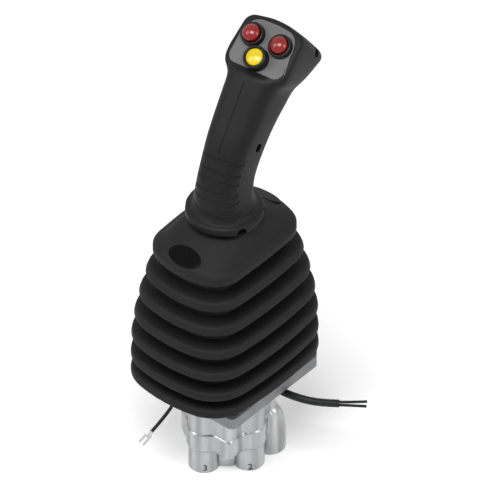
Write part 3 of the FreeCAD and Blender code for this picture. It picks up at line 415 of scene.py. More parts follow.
def bulged(half_x, half_y, corner, bulge_x, bulge_y, inset=0.0):
    """Points round a rounded rectangle with arched sides, from +X anticlockwise."""
    side_x = (half_y**2 + bulge_x**2) / (2 * bulge_x)
    side_y = (half_x**2 + bulge_y**2) / (2 * bulge_y)
    middle_x, middle_y = half_x - side_x, half_y - side_y
    reach_x, reach_y = side_x - corner, side_y - corner
    gap = math.hypot(middle_x, middle_y)
    along = (reach_x**2 - reach_y**2 + gap**2) / (2 * gap)
    across = math.sqrt(reach_x**2 - along**2)
    ux, uy = -middle_x / gap, middle_y / gap
    corner_x, corner_y = middle_x + along * ux - across * uy, along * uy + across * ux
    if corner_x < 0 or corner_y < 0:
        corner_x, corner_y = middle_x + along * ux + across * uy, along * uy - across * ux
    low = math.atan2(corner_y, corner_x - middle_x)
    high = math.atan2(corner_y - middle_y, corner_x)
    quarter = []
    for x, y, radius, start, end, steps in (
        (middle_x, 0.0, side_x - inset, 0.0, low, SIDE_STEPS),
        (corner_x, corner_y, corner - inset, low, high, CORNER_STEPS),
        (0.0, middle_y, side_y - inset, high, math.pi / 2, SIDE_STEPS),
    ):
        for i in range(steps):
            angle = start + (end - start) * i / steps
            quarter.append((x + radius * math.cos(angle), y + radius * math.sin(angle)))
    upper = quarter + [(0.0, half_y - inset)] + [(-x, y) for x, y in reversed(quarter)]
    return upper + [(x, -y) for x, y in reversed(upper[1:-1])]


def rounded(corners, radii, corner_steps=8, side_steps=4):
    """Points round a polygon with rounded corners, anticlockwise."""
    arcs = []
    for i, corner in enumerate(corners):
        here = Vector(corner)
        before = (Vector(corners[i - 1]) - here).normalized()
        after = (Vector(corners[(i + 1) % len(corners)]) - here).normalized()
        half = before.angle(after) / 2
        centre = here + (before + after).normalized() * (radii[i] / math.sin(half))
        first = here + before * (radii[i] / math.tan(half)) - centre
        turn = (math.pi - 2 * half) / corner_steps
        arcs.append([centre + Matrix.Rotation(turn * k, 2) @ first for k in range(corner_steps + 1)])
    points = []
    for i, arc in enumerate(arcs):
        points += arc
        stop = arcs[(i + 1) % len(arcs)][0]
        points += [arc[-1].lerp(stop, k / side_steps) for k in range(1, side_steps)]
    return [(p.x, p.y) for p in points]


def between(rows, steps):
    """Rows of numbers on a smooth curve through the given rows."""
    out = []
    for i in range(len(rows) - 1):
        a, b = rows[max(i - 1, 0)], rows[i]
        c, d = rows[i + 1], rows[min(i + 2, len(rows) - 1)]
        for k in range(steps):
            t = k / steps
            row = []
            for p, q, r, s in zip(a, b, c, d):
                bend = 2 * p - 5 * q + 4 * r - s + t * (3 * (q - r) + s - p)
                row.append(q + 0.5 * t * (r - p + t * bend))
            out.append(row)
    return out + [list(rows[-1])]


# Modelling

SEWING_DISTANCE = 1e-6


def only(*pieces):
    """Selects these pieces alone; the first is the active one."""
    bpy.ops.object.select_all(action="DESELECT")
    for piece in pieces:
        piece.select_set(True)
    bpy.context.view_layer.objects.active = pieces[0]


def skin(name, rings, closed=True):
    """A grid whose rows are drawn out to the rings, sewn up along its seam and closed at its ends."""
    around = len(rings[0])
    bpy.ops.object.select_all(action="DESELECT")
    bpy.ops.mesh.primitive_grid_add(x_subdivisions=around, y_subdivisions=len(rings) - 1)
    piece = bpy.context.object
    piece.name = name
    for i, vertex in enumerate(piece.data.vertices):
        row, column = divmod(i, around + 1)
        vertex.co = Vector(rings[row][column % around]) * MM
    bpy.ops.object.mode_set(mode="EDIT")
    bpy.ops.mesh.select_all(action="SELECT")
    bpy.ops.mesh.remove_doubles(threshold=SEWING_DISTANCE)
    if closed:
        bpy.ops.mesh.fill_holes(sides=0)
    bpy.ops.mesh.select_all(action="SELECT")
    bpy.ops.mesh.normals_make_consistent(inside=False)
    bpy.ops.object.mode_set(mode="OBJECT")
    return piece


def turned(name, profile, steps=96):
    """A lathe-turned piece from (radius, height) pairs in millimetres."""
    rings = []
    for radius, height in profile:
        angles = [2 * math.pi * i / steps for i in range(steps)]
        rings.append([(radius * math.cos(a), radius * math.sin(a), height) for a in angles])
    return skin(name, rings)


def modify(piece, kind, **settings):
    """Adds a modifier with its settings and applies it."""
    only(piece)
    modifier = piece.modifiers.new("shape", kind)
    for name, value in settings.items():
        setattr(modifier, name, value)
    bpy.ops.object.modifier_apply(modifier=modifier.name)


def carve(piece, *cutters):
    """Cuts other forms out of a piece and throws them away."""
    for cutter in cutters:
        modify(piece, "BOOLEAN", object=cutter, operation="DIFFERENCE", solver="EXACT")
        bpy.data.objects.remove(cutter)


def smooth(piece, angle=35):
    only(piece)
    bpy.ops.object.shade_smooth_by_angle(angle=math.radians(angle))


ACROSS = Matrix.Rotation(math.radians(90), 4, "Y")


def settle(piece, place):
    """Moves the mesh itself, so that the object stays at the origin."""
    piece.data.transform(place)
    return piece


def drawn_tube(name, points, radius, resolution=3):
    """A tube through points given in millimetres."""
    data = bpy.data.curves.new(name, "CURVE")
    data.dimensions = "3D"
    spline = data.splines.new("POLY")
    spline.points.add(len(points) - 1)
    for point, place in zip(spline.points, points):
        point.co = (*(Vector(place) * MM), 1.0)
    data.bevel_depth = radius * MM
    data.bevel_resolution = resolution
    data.use_fill_caps = True
    tube = bpy.data.objects.new(name, data)
    bpy.context.scene.collection.objects.link(tube)
    only(tube)
    bpy.ops.object.convert(target="MESH")
    return bpy.context.object


def duplicate(source, name):
    copy = bpy.data.objects.new(name, source.data.copy())
    bpy.context.scene.collection.objects.link(copy)
    return copy


def node_copy(node, name):
    """A CAD node's mesh copied and sewn together, as a start for a finer piece."""
    piece = duplicate(NODES[node], name)
    piece.data.materials.clear()
    only(piece)
    bpy.ops.object.mode_set(mode="EDIT")
    bpy.ops.mesh.select_all(action="SELECT")
    bpy.ops.mesh.remove_doubles(threshold=SEWING_DISTANCE)
    bpy.ops.object.mode_set(mode="OBJECT")
    return piece


# Gaiter: its outlines are half sizes along X and Y, corner radius and the sides' arch along X and Y

CAP_LEVEL = 118.7
FOLD_LEVELS = [12.2, 27.7, 45.9, 64.1, 82.3, 100.5, CAP_LEVEL]
FOLD_PITCH = 18.2
BELLY_FALL = 4.6 * FOLD_PITCH
FOLDS_TOP = 116.1
FOLD_WALL = 1.7
GROOVE_DEPTH = 11.0
GAITER_AT_CAP = (36.5, 50.6, 22.0, 2.4, 10.0)
GAITER_AT_BELLY = (49.96, 64.8, 30.3, 7.4, 11.0)
GAITER_SPLIT = 76.5


def gaiter_ring(inset, level):
    """The gaiter's outline at a height: it swells from the cap down to the belly."""
    share = math.sin(math.pi / 2 * min(max((CAP_LEVEL - level) / BELLY_FALL, 0), 1))
    measures = [a + (b - a) * share for a, b in zip(GAITER_AT_CAP, GAITER_AT_BELLY)]
    return [(x, y, level) for x, y in bulged(*measures, inset)]


# One fold's section above its lower edge, then the groove below the next edge
BAND = [
    (0.9, -0.1), (0.35, 0.1), (0.08, 0.5), (0.0, 1.1), (0.1, 2.6), (0.3, 4.3), (0.5, 5.0),
    (0.9, 5.6), (1.6, 6.0), (2.6, 6.35), (4.4, 6.9), (6.6, 7.5), (8.8, 8.1), (10.2, 8.6), (10.9, 9.2),
]
THROAT = [(GROOVE_DEPTH, -5.0), (10.8, -3.6), (9.8, -2.7), (7.0, -1.8), (4.0, -0.9), (2.0, -0.35)]


def fold_rings(start, end):
    """The folds' outer face between two heights, each of which is in a groove or at a rim."""
    rows = []
    for low, high in zip(FOLD_LEVELS, FOLD_LEVELS[1:]):
        rows += [(inset, low + rise) for inset, rise in BAND]
        rows += [(inset, high + rise) for inset, rise in THROAT]
    rows = [row for row in rows if start < row[1] < end]
    if start > FOLD_LEVELS[0]:
        rows.insert(0, (GROOVE_DEPTH, start))
    rows.append((GROOVE_DEPTH, end))
    return [gaiter_ring(inset, level) for inset, level in rows]


# Above a fold's lower edge: where its rim ends, and how far on the groove's painted shade is fully dark
RIM_RISE = 5.6
PAINTED_SHADE_RUN = 1.4
LEVEL_SLACK = 0.3


def note_groove_shade(piece):
    """Writes the mask of the grooves' painted shade, by how far each point lies inside a groove: 0 on a fold's
    rim, 1 in the groove.
    """
    groove_shade = piece.data.attributes.new("groove_shade", "FLOAT", "POINT")
    for vertex, share in zip(piece.data.vertices, groove_shade.data):
        level = vertex.co.z / MM
        below = max([low for low in FOLD_LEVELS if low <= level + LEVEL_SLACK], default=FOLD_LEVELS[0])
        share.value = min(max((level - below - RIM_RISE) / PAINTED_SHADE_RUN, 0.0), 1.0)


def make_folds(name, start, end):
    """Part of the folds, between two heights."""
    piece = skin(name, fold_rings(start, end), closed=False)
    modify(piece, "SOLIDIFY", thickness=FOLD_WALL * MM, offset=-1.0, use_even_offset=True)
    # Marks the grooves, which the rubber paints near black as painted shade
    note_groove_shade(piece)
    smooth(piece, 50)
    finish(piece, "black_rubber")
    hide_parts("gaiter_folds")
    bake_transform(piece)


# The cap's section above its rim: shares of the shoulder's inset and rise, then of the dome's
CAP_STEPS = [
    (0.0, 0.0, 0.0, 0.0), (0.07, 0.16, 0.0, 0.0), (0.17, 0.32, 0.0, 0.0), (0.31, 0.5, 0.0, 0.0),
    (0.5, 0.69, 0.0, 0.0), (0.75, 0.87, 0.0, 0.0), (1.0, 1.0, 0.0, 0.0), (1.0, 1.0, 0.07, 0.07),
    (1.0, 1.0, 0.15, 0.155), (1.0, 1.0, 0.25, 0.26), (1.0, 1.0, 0.37, 0.385), (1.0, 1.0, 0.5, 0.52),
    (1.0, 1.0, 0.63, 0.65), (1.0, 1.0, 0.76, 0.775), (1.0, 1.0, 0.88, 0.89), (1.0, 1.0, 1.0, 1.0),
]
# Inset and level of the rings below the cap's shoulder, outside and then inside
CAP_SKIRT = [
    (GROOVE_DEPTH, FOLDS_TOP), (6.0, 117.3), (1.6, 118.4), (0.5, 118.75), (0.1, 119.3), (0.0, 120.2), (0.0, 122.6),
]
CAP_LINING = [(2.0, 120.9), (13.0, 118.1), (13.0, FOLDS_TOP)]
CAP_WALL = 2.0
CAP_BULGE = GAITER_AT_CAP[3:]
RIM_TOP = 124.6
SHOULDER_IN_X, SHOULDER_IN_Y, SHOULDER_RISE = 6.0, 3.0, 4.4
DOME_TOP = (23.0, 25.0, 21.0)
DOME_RISE = 11.1
NECK_RADIUS = 20.3
NECK_LEVELS = (140.4, 139.6, 138.4)
BADGE_SLOPE = 27.0
BADGE_OUT, BADGE_LEVEL = 42.8, 131.15
BADGE_HALF = (13.7, 7.5)
BADGE_SEAT_HALF = (13.9, 7.7)


def cap_ring(step, inset=0.0, drop=0.0):
    shoulder_in, shoulder_up, dome_in, dome_up = step
    half_x, half_y, corner = GAITER_AT_CAP[:3]
    edge = SHOULDER_IN_Y * shoulder_in
    outer = (half_x - SHOULDER_IN_X * shoulder_in, half_y - edge, corner - edge)
    measures = [a + (b - a) * dome_in for a, b in zip(outer, DOME_TOP)]
    level = RIM_TOP + SHOULDER_RISE * shoulder_up + DOME_RISE * dome_up - drop
    return [(x, y, level) for x, y in bulged(*measures, *CAP_BULGE, inset)]


def neck_ring(level):
    ring = []
    for x, y in bulged(*DOME_TOP, *CAP_BULGE):
        reach = math.hypot(x, y)
        ring.append((x * NECK_RADIUS / reach, y * NECK_RADIUS / reach, level))
    return ring


def make_cap():
    """The gaiter's domed cap: up its outside, through the neck and back down its inside."""
    rings = [gaiter_ring(*place) for place in CAP_SKIRT]
    rings += [cap_ring(step) for step in CAP_STEPS]
    rings += [neck_ring(level) for level in NECK_LEVELS]
    rings += [cap_ring(step, CAP_WALL, CAP_WALL) for step in reversed(CAP_STEPS[::3])]
    rings += [gaiter_ring(*place) for place in CAP_LINING]
    rings.append(rings[0])
    piece = skin("gaiter_cap_shell", rings, closed=False)
    seats = []
    for side in (-1, 1):
        seat = turned("badge_seat", [(0, -0.45), (1.0, -0.45), (1.0, 8.0), (0, 8.0)])
        seats.append(settle(seat, badge_place(side) @ Matrix.Diagonal((*BADGE_SEAT_HALF, 1.0, 1.0))))
    carve(piece, *seats)
    smooth(piece, 40)
    finish(piece, "black_rubber")
    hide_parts("gaiter_cap")
    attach(piece, "lever")


def badge_place(side):
    tilt = Matrix.Rotation(math.radians(-BADGE_SLOPE * side), 4, "X")
    return Matrix.Translation(Vector((0, side * BADGE_OUT, BADGE_LEVEL)) * MM) @ tilt


def make_badge(side, name):
    """A lacquered oval in its seat, with a fine chamfer round it."""
    profile = [
        (0, -1.0), (0.965, -1.0), (0.975, -0.9), (0.975, 0.2), (0.955, 0.32), (0.88, 0.36), (0.5, 0.42), (0, 0.44),
    ]
    piece = turned(name, profile)
    settle(piece, badge_place(side) @ Matrix.Diagonal((*BADGE_HALF, 1.0, 1.0)))
    smooth(piece, 30)
    finish(piece, "badge")
    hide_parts("badge_front" if side < 0 else "badge_back")
    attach(piece, "lever")


# Handle

HANDLE_TURN = Matrix.Rotation(math.radians(5.6), 4, "Z")
PANEL_TILT = Matrix.Rotation(math.radians(34.7), 4, "X")
PANEL_FRONT = Vector((0, 33.0, 249.6))
PANEL_PLACE = HANDLE_TURN @ Matrix.Translation(PANEL_FRONT * MM) @ PANEL_TILT
COLLAR_TOP = 150.4
GRIP_HALF_WIDTH, GRIP_HALF_DEPTH = 19.0, 20.4
GRIP_BULGE = (1.6, 2.6)
# Lean in degrees, centre along Y, rise over the collar, depth and width as shares, corner's share
GRIP_ROWS = [
    (0.0, -0.2, 0.0, 1.18, 1.26, 0.97),
    (0.5, -0.2, 0.8, 1.13, 1.20, 0.95),
    (1.2, -0.2, 2.0, 1.08, 1.14, 0.93),
    (2.4, -0.2, 4.0, 1.03, 1.08, 0.89),
    (7.0, -1.4, 10.1, 0.96, 0.98, 0.78),
    (18.0, 2.5, 27.3, 0.95, 0.88, 0.66),
    (25.0, 13.9, 48.4, 0.98, 0.92, 0.62),
    (29.0, 26.1, 64.0, 1.00, 0.98, 0.62),
    (32.0, 39.8, 77.7, 1.14, 1.02, 0.62),
    (35.0, 48.1, 86.5, 1.18, 1.15, 0.62),
]
# Depth under the panel, front and back edge, half widths at the front and the back, back corners' radius
HEAD_ROWS = [
    (0.0, -3.0, 34.2, 23.9, 21.9, 8.6),
    (0.5, -3.9, 35.0, 25.2, 23.0, 8.6),
    (1.5, -4.6, 35.6, 26.2, 23.6, 8.4),
    (3.2, -5.0, 36.0, 26.8, 24.0, 8.2),
    (8.0, -4.4, 36.5, 26.8, 24.2, 7.8),
    (14.0, -3.0, 36.8, 26.2, 24.3, 7.5),
    (27.0, 2.0, 37.0, 24.0, 24.4, 6.8),
    (37.0, 8.0, 37.0, 21.2, 24.4, 6.0),
    (43.5, 17.0, 36.5, 17.4, 23.7, 5.5),
    (46.0, 22.0, 34.8, 14.4, 21.0, 4.6),
]
HEAD_HALF_WIDTH = 21.8
CROWN_RISE, CROWN_RADIUS = 4.4, 50.0
HEAD_FRONT_RADIUS = 9.0
PANEL_HALF, PANEL_LENGTH = 22.3, 36.3


def grip_ring(row):
    lean, centre_y, rise, depth, width, corner = row
    half_x, half_y = GRIP_HALF_WIDTH * width, GRIP_HALF_DEPTH * depth
    turn = math.radians(lean)
    ring = []
    for x, y in bulged(half_x, half_y, corner * min(half_x, half_y), *GRIP_BULGE):
        ring.append((x, centre_y + y * math.cos(turn), COLLAR_TOP + rise - y * math.sin(turn)))
    return ring


def head_ring(row):
    depth, front, back, front_half, back_half, corner = row
    width = back_half / HEAD_HALF_WIDTH
    corners = [(front_half, front), (back_half, back), (0, back + CROWN_RISE * width)]
    corners += [(-back_half, back), (-front_half, front)]
    edge = min(HEAD_FRONT_RADIUS, front_half / 2)
    outline = rounded(corners, [edge, corner, CROWN_RADIUS * width, corner, edge])
    place = Matrix.Translation(PANEL_FRONT) @ PANEL_TILT
    return [tuple(place @ Vector((x, y, -depth))) for x, y in outline]


def panel_outline(grow):
    """The waisted outline of the panel, grown by a margin."""
    right = []
    for x, w in ((0.88, 0.0), (1.02, 0.17), (0.93, 0.40), (0.95, 0.60), (0.84, 0.97)):
        spread = grow if w > 0.5 else -grow if w == 0 else 0.0
        right.append((PANEL_HALF * x + grow, PANEL_LENGTH * w + spread))
    left = [(-x, w) for x, w in reversed(right)]
    radii = [6.0, 7.0, 20.0, 20.0, 11.0]
    corners = right + [(0, PANEL_LENGTH + grow)] + left
    return rounded(corners, radii + [60.0] + radii[::-1], 6, 3)


def panel_prism(name, insets):
    """The panel's outline carried up through (growth, height) pairs."""
    rings = [[(x, w, height) for x, w in panel_outline(grow)] for grow, height in insets]
    return settle(skin(name, rings), PANEL_PLACE)


BUTTONS = {
    "red_left": (-11.5, 22.9),
    "red_right": (11.5, 22.9),
    "yellow": (0.0, 8.2),
}


def button_place(key):
    return PANEL_PLACE @ Matrix.Translation(Vector((*BUTTONS[key], 0)) * MM)


def button_cutters(radius, floor, steps):
    """A cylinder round each button's axis, from a depth up to well above the panel."""
    cutters = []
    for key in BUTTONS:
        cutter = turned("button_hole", [(0, floor), (radius, floor), (radius, 3.0), (0, 3.0)], steps)
        cutters.append(settle(cutter, button_place(key)))
    return cutters


def grip_row_at(rise):
    """The grip's section at a rise over the collar."""
    rows = between(GRIP_ROWS, 16)
    for low, high in zip(rows, rows[1:]):
        if low[2] <= rise <= high[2]:
            share = (rise - low[2]) / (high[2] - low[2])
            return [a + (b - a) * share for a, b in zip(low, high)]
    return rows[-1]


GROOVE_RISES = [7.1, 14.8, 20.2, 27.1, 33.1, 40.3]
GROOVE_RADIUS = 0.85
SEAM_RISES = range(43, 85, 3)
SEAM_RADIUS = 0.45
# Along Y and over the collar
SCREW_HOLES = ((16.0, 48.9), (78.0, 94.6))
SKIN_GRAIN = 0.7
NECK_REACH = 12.0


def groove_path(rise):
    """Round the front of the grip from one side to the other, with a short tick up at each end."""
    ring = grip_ring(grip_row_at(rise))
    quarter = len(ring) // 4
    start, end = 2 * quarter + SIDE_STEPS + 1, 4 * quarter - SIDE_STEPS - 1
    path = ring[start:end + 1]
    first, last = Vector(path[0]), Vector(path[-1])
    tick = Vector((0, 0.3, 1.4))
    return [tuple(first + tick)] + path + [tuple(last + tick)]


def blend_neck(piece, grip, head, reach):
    """Relaxes the skin where the grip runs into the head, as the mould's fillet does."""
    trees = []
    for form in (grip, head):
        trees.append(BVHTree.FromObject(form, bpy.context.evaluated_depsgraph_get()))
    group = piece.vertex_groups.new(name="fillet")
    for vertex in piece.data.vertices:
        away = max(tree.find_nearest(vertex.co)[3] for tree in trees)
        weight = 1 - away / (reach * MM)
        if weight > 0:
            group.add([vertex.index], min(1.0, 1.6 * weight), "REPLACE")
    modify(piece, "SMOOTH", factor=0.5, iterations=220, vertex_group="fillet")
    piece.vertex_groups.clear()


def make_grip():
    """Grip and head as one skin, relaxed at the neck, with grooves, seam, screw holes and the panel's seat."""
    grip = skin("grip_form", [grip_ring(row) for row in between(GRIP_ROWS, 6)])
    head = skin("head_form", [head_ring(row) for row in between(HEAD_ROWS, 3)])
    piece = duplicate(grip, "grip_shells")
    second = duplicate(head, "head_copy")
    only(piece, second)
    bpy.ops.object.join()
    modify(piece, "REMESH", mode="VOXEL", voxel_size=SKIN_GRAIN * MM, adaptivity=0.0)
    modify(piece, "SMOOTH", factor=0.5, iterations=3)
    blend_neck(piece, grip, head, NECK_REACH)
    bpy.data.objects.remove(grip)
    bpy.data.objects.remove(head)
    grooves = [drawn_tube("groove", groove_path(rise), GROOVE_RADIUS) for rise in GROOVE_RISES]
    only(*grooves)
    bpy.ops.object.join()
    carve(piece, grooves[0])
    quarter = 2 * SIDE_STEPS + CORNER_STEPS
    rows = [grip_row_at(rise) for rise in SEAM_RISES]
    seam = drawn_tube("seam", [grip_ring(row)[3 * quarter] for row in rows], SEAM_RADIUS, 1)
    carve(piece, seam)
    for y, rise in SCREW_HOLES:
        hole = turned("screw_hole", [(0, 12.1), (3.3, 12.1), (3.3, 40.0), (0, 40.0)], 40)
        settle(hole, Matrix.Translation(Vector((0, y, COLLAR_TOP + rise)) * MM) @ ACROSS)
        carve(piece, hole)
    settle(piece, HANDLE_TURN)
    carve(piece, panel_prism("panel_seat", [(0.1, -1.5), (0.1, 3.0)]))
    carve(piece, *button_cutters(8.7, -9.1, 48))
    smooth(piece, 40)
    finish(piece, "black_plastic")
    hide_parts("grip_shell_left", "grip_shell_right")
    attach(piece, "lever")


NOTCH_ANGLES = (29.5, -29.5, 150.5, -150.5)
NOTCH_RADIUS = 3.5
NOTCH_LEVEL = 145.9


def make_collar():
    """The ring under the grip, with round notches in its edge."""
    profile = [
        (6.2, 138.2), (19.6, 138.2), (20.0, 138.6), (20.0, 144.0), (26.6, 144.0), (27.1, 144.15),
        (27.4, 144.5), (27.5, 145.0), (27.5, 148.2), (27.4, 148.9), (27.1, 149.5), (26.6, 150.0),
        (25.9, 150.4), (25.0, 150.75),
        (24.2, 151.1), (23.3, 151.6), (22.4, 152.3), (21.8, 153.0), (6.2, 153.0),
    ]
    profile.append(profile[0])
    piece = turned("handle_collar_ring", profile, 144)
    level = Matrix.Translation(Vector((0, 0, NOTCH_LEVEL)) * MM)
    for turn in NOTCH_ANGLES:
        notch = turned("notch", [(0, 21.0), (NOTCH_RADIUS, 21.0), (NOTCH_RADIUS, 32.0), (0, 32.0)], 40)
        for vertex in notch.data.vertices:
            if vertex.co.x > 0.1 * MM:
                vertex.co.x += NOTCH_RADIUS * MM
        settle(notch, ACROSS)
        settle(notch, level @ Matrix.Rotation(math.radians(turn), 4, "Z"))
        carve(piece, notch)
    smooth(piece, 35)
    settle(piece, HANDLE_TURN)
    finish(piece, "black_plastic")
    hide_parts("handle_collar")
    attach(piece, "lever")


def make_panel():
    piece = panel_prism("button_panel_plate", [(-0.02, -1.5), (-0.02, -0.75), (-0.15, -0.45), (-0.45, -0.3)])
    carve(piece, *button_cutters(8.62, -3.0, 64))
    smooth(piece, 25)
    finish(piece, "grey_plastic")
    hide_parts("button_panel")
    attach(piece, "lever")


CAP_RADIUS = 6.2
# Rise of the collar over the panel, top of the cap and the cap's crown
SIDE_BUTTON = (4.5, 9.6, 3.2)
MIDDLE_BUTTON = (7.5, 8.6, 1.8)


def make_button(key):
    """A button's collar, which stays, and its domed cap, which is pressed."""
    rise, top, crown = MIDDLE_BUTTON if key == "yellow" else SIDE_BUTTON
    body = [
        (0, -8.9), (8.55, -8.9), (8.55, rise - 1.3), (8.5, rise - 0.8), (8.3, rise - 0.35),
        (7.95, rise - 0.08), (7.5, rise), (7.1, rise), (6.85, rise - 0.1), (6.7, rise - 0.35),
        (6.55, rise - 0.9), (6.5, rise - 1.6), (6.5, -6.0), (0, -6.0),
    ]
    collar = settle(turned("button_collar_" + key, body), button_place(key))
    smooth(collar, 32)
    finish(collar, "button_black")
    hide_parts("button_body_" + key)
    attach(collar, "lever")
    ball = (CAP_RADIUS**2 + crown**2) / (2 * crown)
    dome = [(0, -4.1), (CAP_RADIUS, -4.1), (CAP_RADIUS, top - crown - 0.35), (6.17, top - crown - 0.1)]
    for reach in (6.02, 5.5, 4.8, 4.0, 3.0, 2.0, 1.0, 0.0):
        dome.append((reach, top - ball + math.sqrt(ball**2 - reach**2)))
    cap = settle(turned("button_lens_" + key, dome), button_place(key))
    smooth(cap, 40)
    colour = "yellow_plastic" if key == "yellow" else "red_plastic"
    finish(cap, colour)
    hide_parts("button_cap_" + key)
    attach(cap, "button_" + key)


# Body, plate and frame

LOBE_RING = 22.0
LOBE_RADIUS = 10.8
CORE_REACH = 20.5
SUPPLY_RING = 31.4
# A supply lobe starts as a tip, swells on the way down and is round from its shoulder on
SUPPLY_TOP = -33.0
SUPPLY_SHOULDER = -57.0
SUPPLY_RUN = 24.0
SUPPLY_TIP, SUPPLY_SWELL = 1.5, 9.3
BODY_STEPS = 480
BODY_FILLET = 0.6
# Right, back, left and front corner
BLOCK_CORNERS = (7.0, 7.0, 20.0, 3.0)
# Level, half width of the square part (none below the belt), the belt's step out, and a chamfer
BODY_ROWS = [
    (0.0, 26.0, 0.0, -0.4), (-0.4, 26.0, 0.0, 0.0), (-20.0, 26.0, 0.0, 0.0), (-33.2, 26.0, 0.0, 0.0),
    (-34.5, 26.0, 0.0, 0.0), (-35.8, 26.0, 0.0, 0.0), (-36.2, 26.05, 0.1, 0.0), (-36.5, 26.9, 0.9, 0.0),
    (-36.8, 27.2, 1.2, 0.0), (-39.0, 27.2, 1.2, 0.0), (-43.0, 27.2, 1.2, 0.0), (-47.0, 27.2, 1.2, 0.0),
    (-50.4, 27.2, 1.2, 0.0), (-50.9, 26.9, 1.0, 0.0), (-51.5, 25.4, 0.5, 0.0), (-52.3, 23.6, 0.2, 0.0),
    (-53.4, 21.6, 0.0, 0.0), (-55.0, 19.6, 0.0, 0.0), (-57.0, 0, 0.0, 0.0), (-64.0, 0, 0.0, 0.0),
    (-70.8, 0, 0.0, 0.0), (-71.3, 0, 0.0, -0.25), (-71.5, 0, 0.0, -0.7),
]
# Level and inset of the form whose metal is taken out to find the bores and the ports
HOLLOW_ROWS = [(-72.5, -2.0), (1.0, -2.0)]


def lobe_edge(angle, way, ring, radius):
    """How far out a round lobe reaches in a direction from the body's axis."""
    swing = angle - way
    rest = radius**2 - (ring * math.sin(swing)) ** 2
    if rest <= 0 or math.cos(swing) <= 0:
        return 0.0
    return ring * math.cos(swing) + math.sqrt(rest)


def square_edge(angle, half, swell):
    """How far out the square block reaches; each of its four corners has its own radius."""
    corner = BLOCK_CORNERS[int(angle // (math.pi / 2)) % 4] + swell
    turn = abs((angle + math.pi / 4) % (math.pi / 2) - math.pi / 4)
    if math.tan(turn) < (half - corner) / half:
        return half / math.cos(turn)
    return lobe_edge(turn, math.pi / 4, (half - corner) * math.sqrt(2), corner)


def body_ring(level, half, swell, grow=0.0):
    """The casting's outline: lobes run into its middle with the mould's fillets."""
    supply = LOBE_RADIUS
    if level > SUPPLY_SHOULDER:
        rise = min((level - SUPPLY_SHOULDER) / SUPPLY_RUN, 1.0)
        supply = SUPPLY_TIP + SUPPLY_SWELL * math.sqrt(max(1.0 - rise**2, 0.0))
    ring = []
    for step in range(BODY_STEPS):
        angle = 2 * math.pi * step / BODY_STEPS
        edges = [max(square_edge(angle, half, swell) if half else 0, CORE_REACH)]
        for quarter in range(4):
            edges.append(lobe_edge(angle, quarter * math.pi / 2, LOBE_RING, LOBE_RADIUS + swell))
        if level < SUPPLY_TOP:
            for way in (math.pi / 4, 3 * math.pi / 4):
                edges.append(lobe_edge(angle, way, SUPPLY_RING, supply))
        reach = math.log(sum(math.exp(BODY_FILLET * edge) for edge in edges)) / BODY_FILLET + grow
        ring.append((reach * math.cos(angle), reach * math.sin(angle), level))
    return ring


def make_body():
    """The casting with its fillets; its bores, ports and wells are those of the CAD piece."""
    piece = skin("valve_body_casting", [body_ring(*row) for row in reversed(BODY_ROWS)])
    hollows = skin("hollows", [body_ring(level, 0, 0.0, grow) for level, grow in HOLLOW_ROWS])
    metal = node_copy("valve_body", "metal")
    carve(hollows, metal)
    carve(piece, hollows)
    smooth(piece, 32)
    finish(piece, "cast_aluminium")
    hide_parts("valve_body")
    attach(piece, "housing")


def make_softened(node, name, width, finish_name):
    """A CAD piece with its sharp edges broken, as deburring leaves them."""
    piece = node_copy(node, name)
    bpy.ops.object.mode_set(mode="EDIT")
    bpy.ops.mesh.select_all(action="SELECT")
    bpy.ops.mesh.dissolve_limited(angle_limit=math.radians(0.5))
    bpy.ops.object.mode_set(mode="OBJECT")
    modify(
        piece, "BEVEL", width=width * MM, segments=3, limit_method="ANGLE", angle_limit=math.radians(40),
        use_clamp_overlap=True,
    )
    smooth(piece, 35)
    finish(piece, finish_name)
    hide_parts(node)
    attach(piece, "housing")


FIGURE_SIZE = 7.2
FIGURE_CURVE = 10.9
FIGURE_RADIUS = 11.05
# Figure, its lobe's axis and the level of its foot
PORT_FIGURES = (("3", 0.0, -LOBE_RING, -69.0), ("2", LOBE_RING, 0.0, -70.2))


def make_numbers():
    """The plain port numbers on the lobes, each curved round its lobe's face."""
    for text, lobe_x, lobe_y, level in PORT_FIGURES:
        bpy.ops.object.select_all(action="DESELECT")
        bpy.ops.object.text_add()
        number = bpy.context.object
        number.name = "port_number_" + text
        number.data.body = text
        number.data.size = FIGURE_SIZE
        number.data.extrude = 0.05
        number.data.align_x = "CENTER"
        number.data.resolution_u = 6
        bpy.ops.object.convert(target="MESH")
        number = bpy.context.object
        for vertex in number.data.vertices:
            across, up, out = vertex.co
            radius = FIGURE_RADIUS + out
            swing = across / FIGURE_CURVE
            vertex.co = Vector((radius * math.sin(swing), -radius * math.cos(swing), up)) * MM
        place = Matrix.Translation(Vector((lobe_x, lobe_y, level)) * MM)
        settle(number, place @ Matrix.Rotation(math.radians(45), 4, "Z"))
        finish(number, "oxide")
        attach(number, "housing")


# Cords and their ends

def lay_cord(name, node, route, radius):
    """A cord in place of its CAD node, on the housing."""
    cord = make_cord(name, route, radius)
    finish(cord, "cable_jacket")
    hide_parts(node)
    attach(cord, "housing")
    return cord


def lay_cords():
    cores = [
        lay_cord("core_upper", "core_wire_upper", UPPER_CORE_ROUTE, CORE_RADIUS),
        lay_cord("core_lower", "core_wire_lower", LOWER_CORE_ROUTE, CORE_RADIUS),
    ]
    cable = lay_cord("switch_cable", "cable", CABLE_ROUTE, CABLE_RADIUS)
    terminal = make_terminal()
    lead = lay_cord("earth_cord", "earth_lead", EARTH_LEAD_ROUTE, LEAD_RADIUS)


# The way the fork's flat side looks: forwards, to the right and up
FORK_FACE = Vector((0.49, -0.58, 0.66))


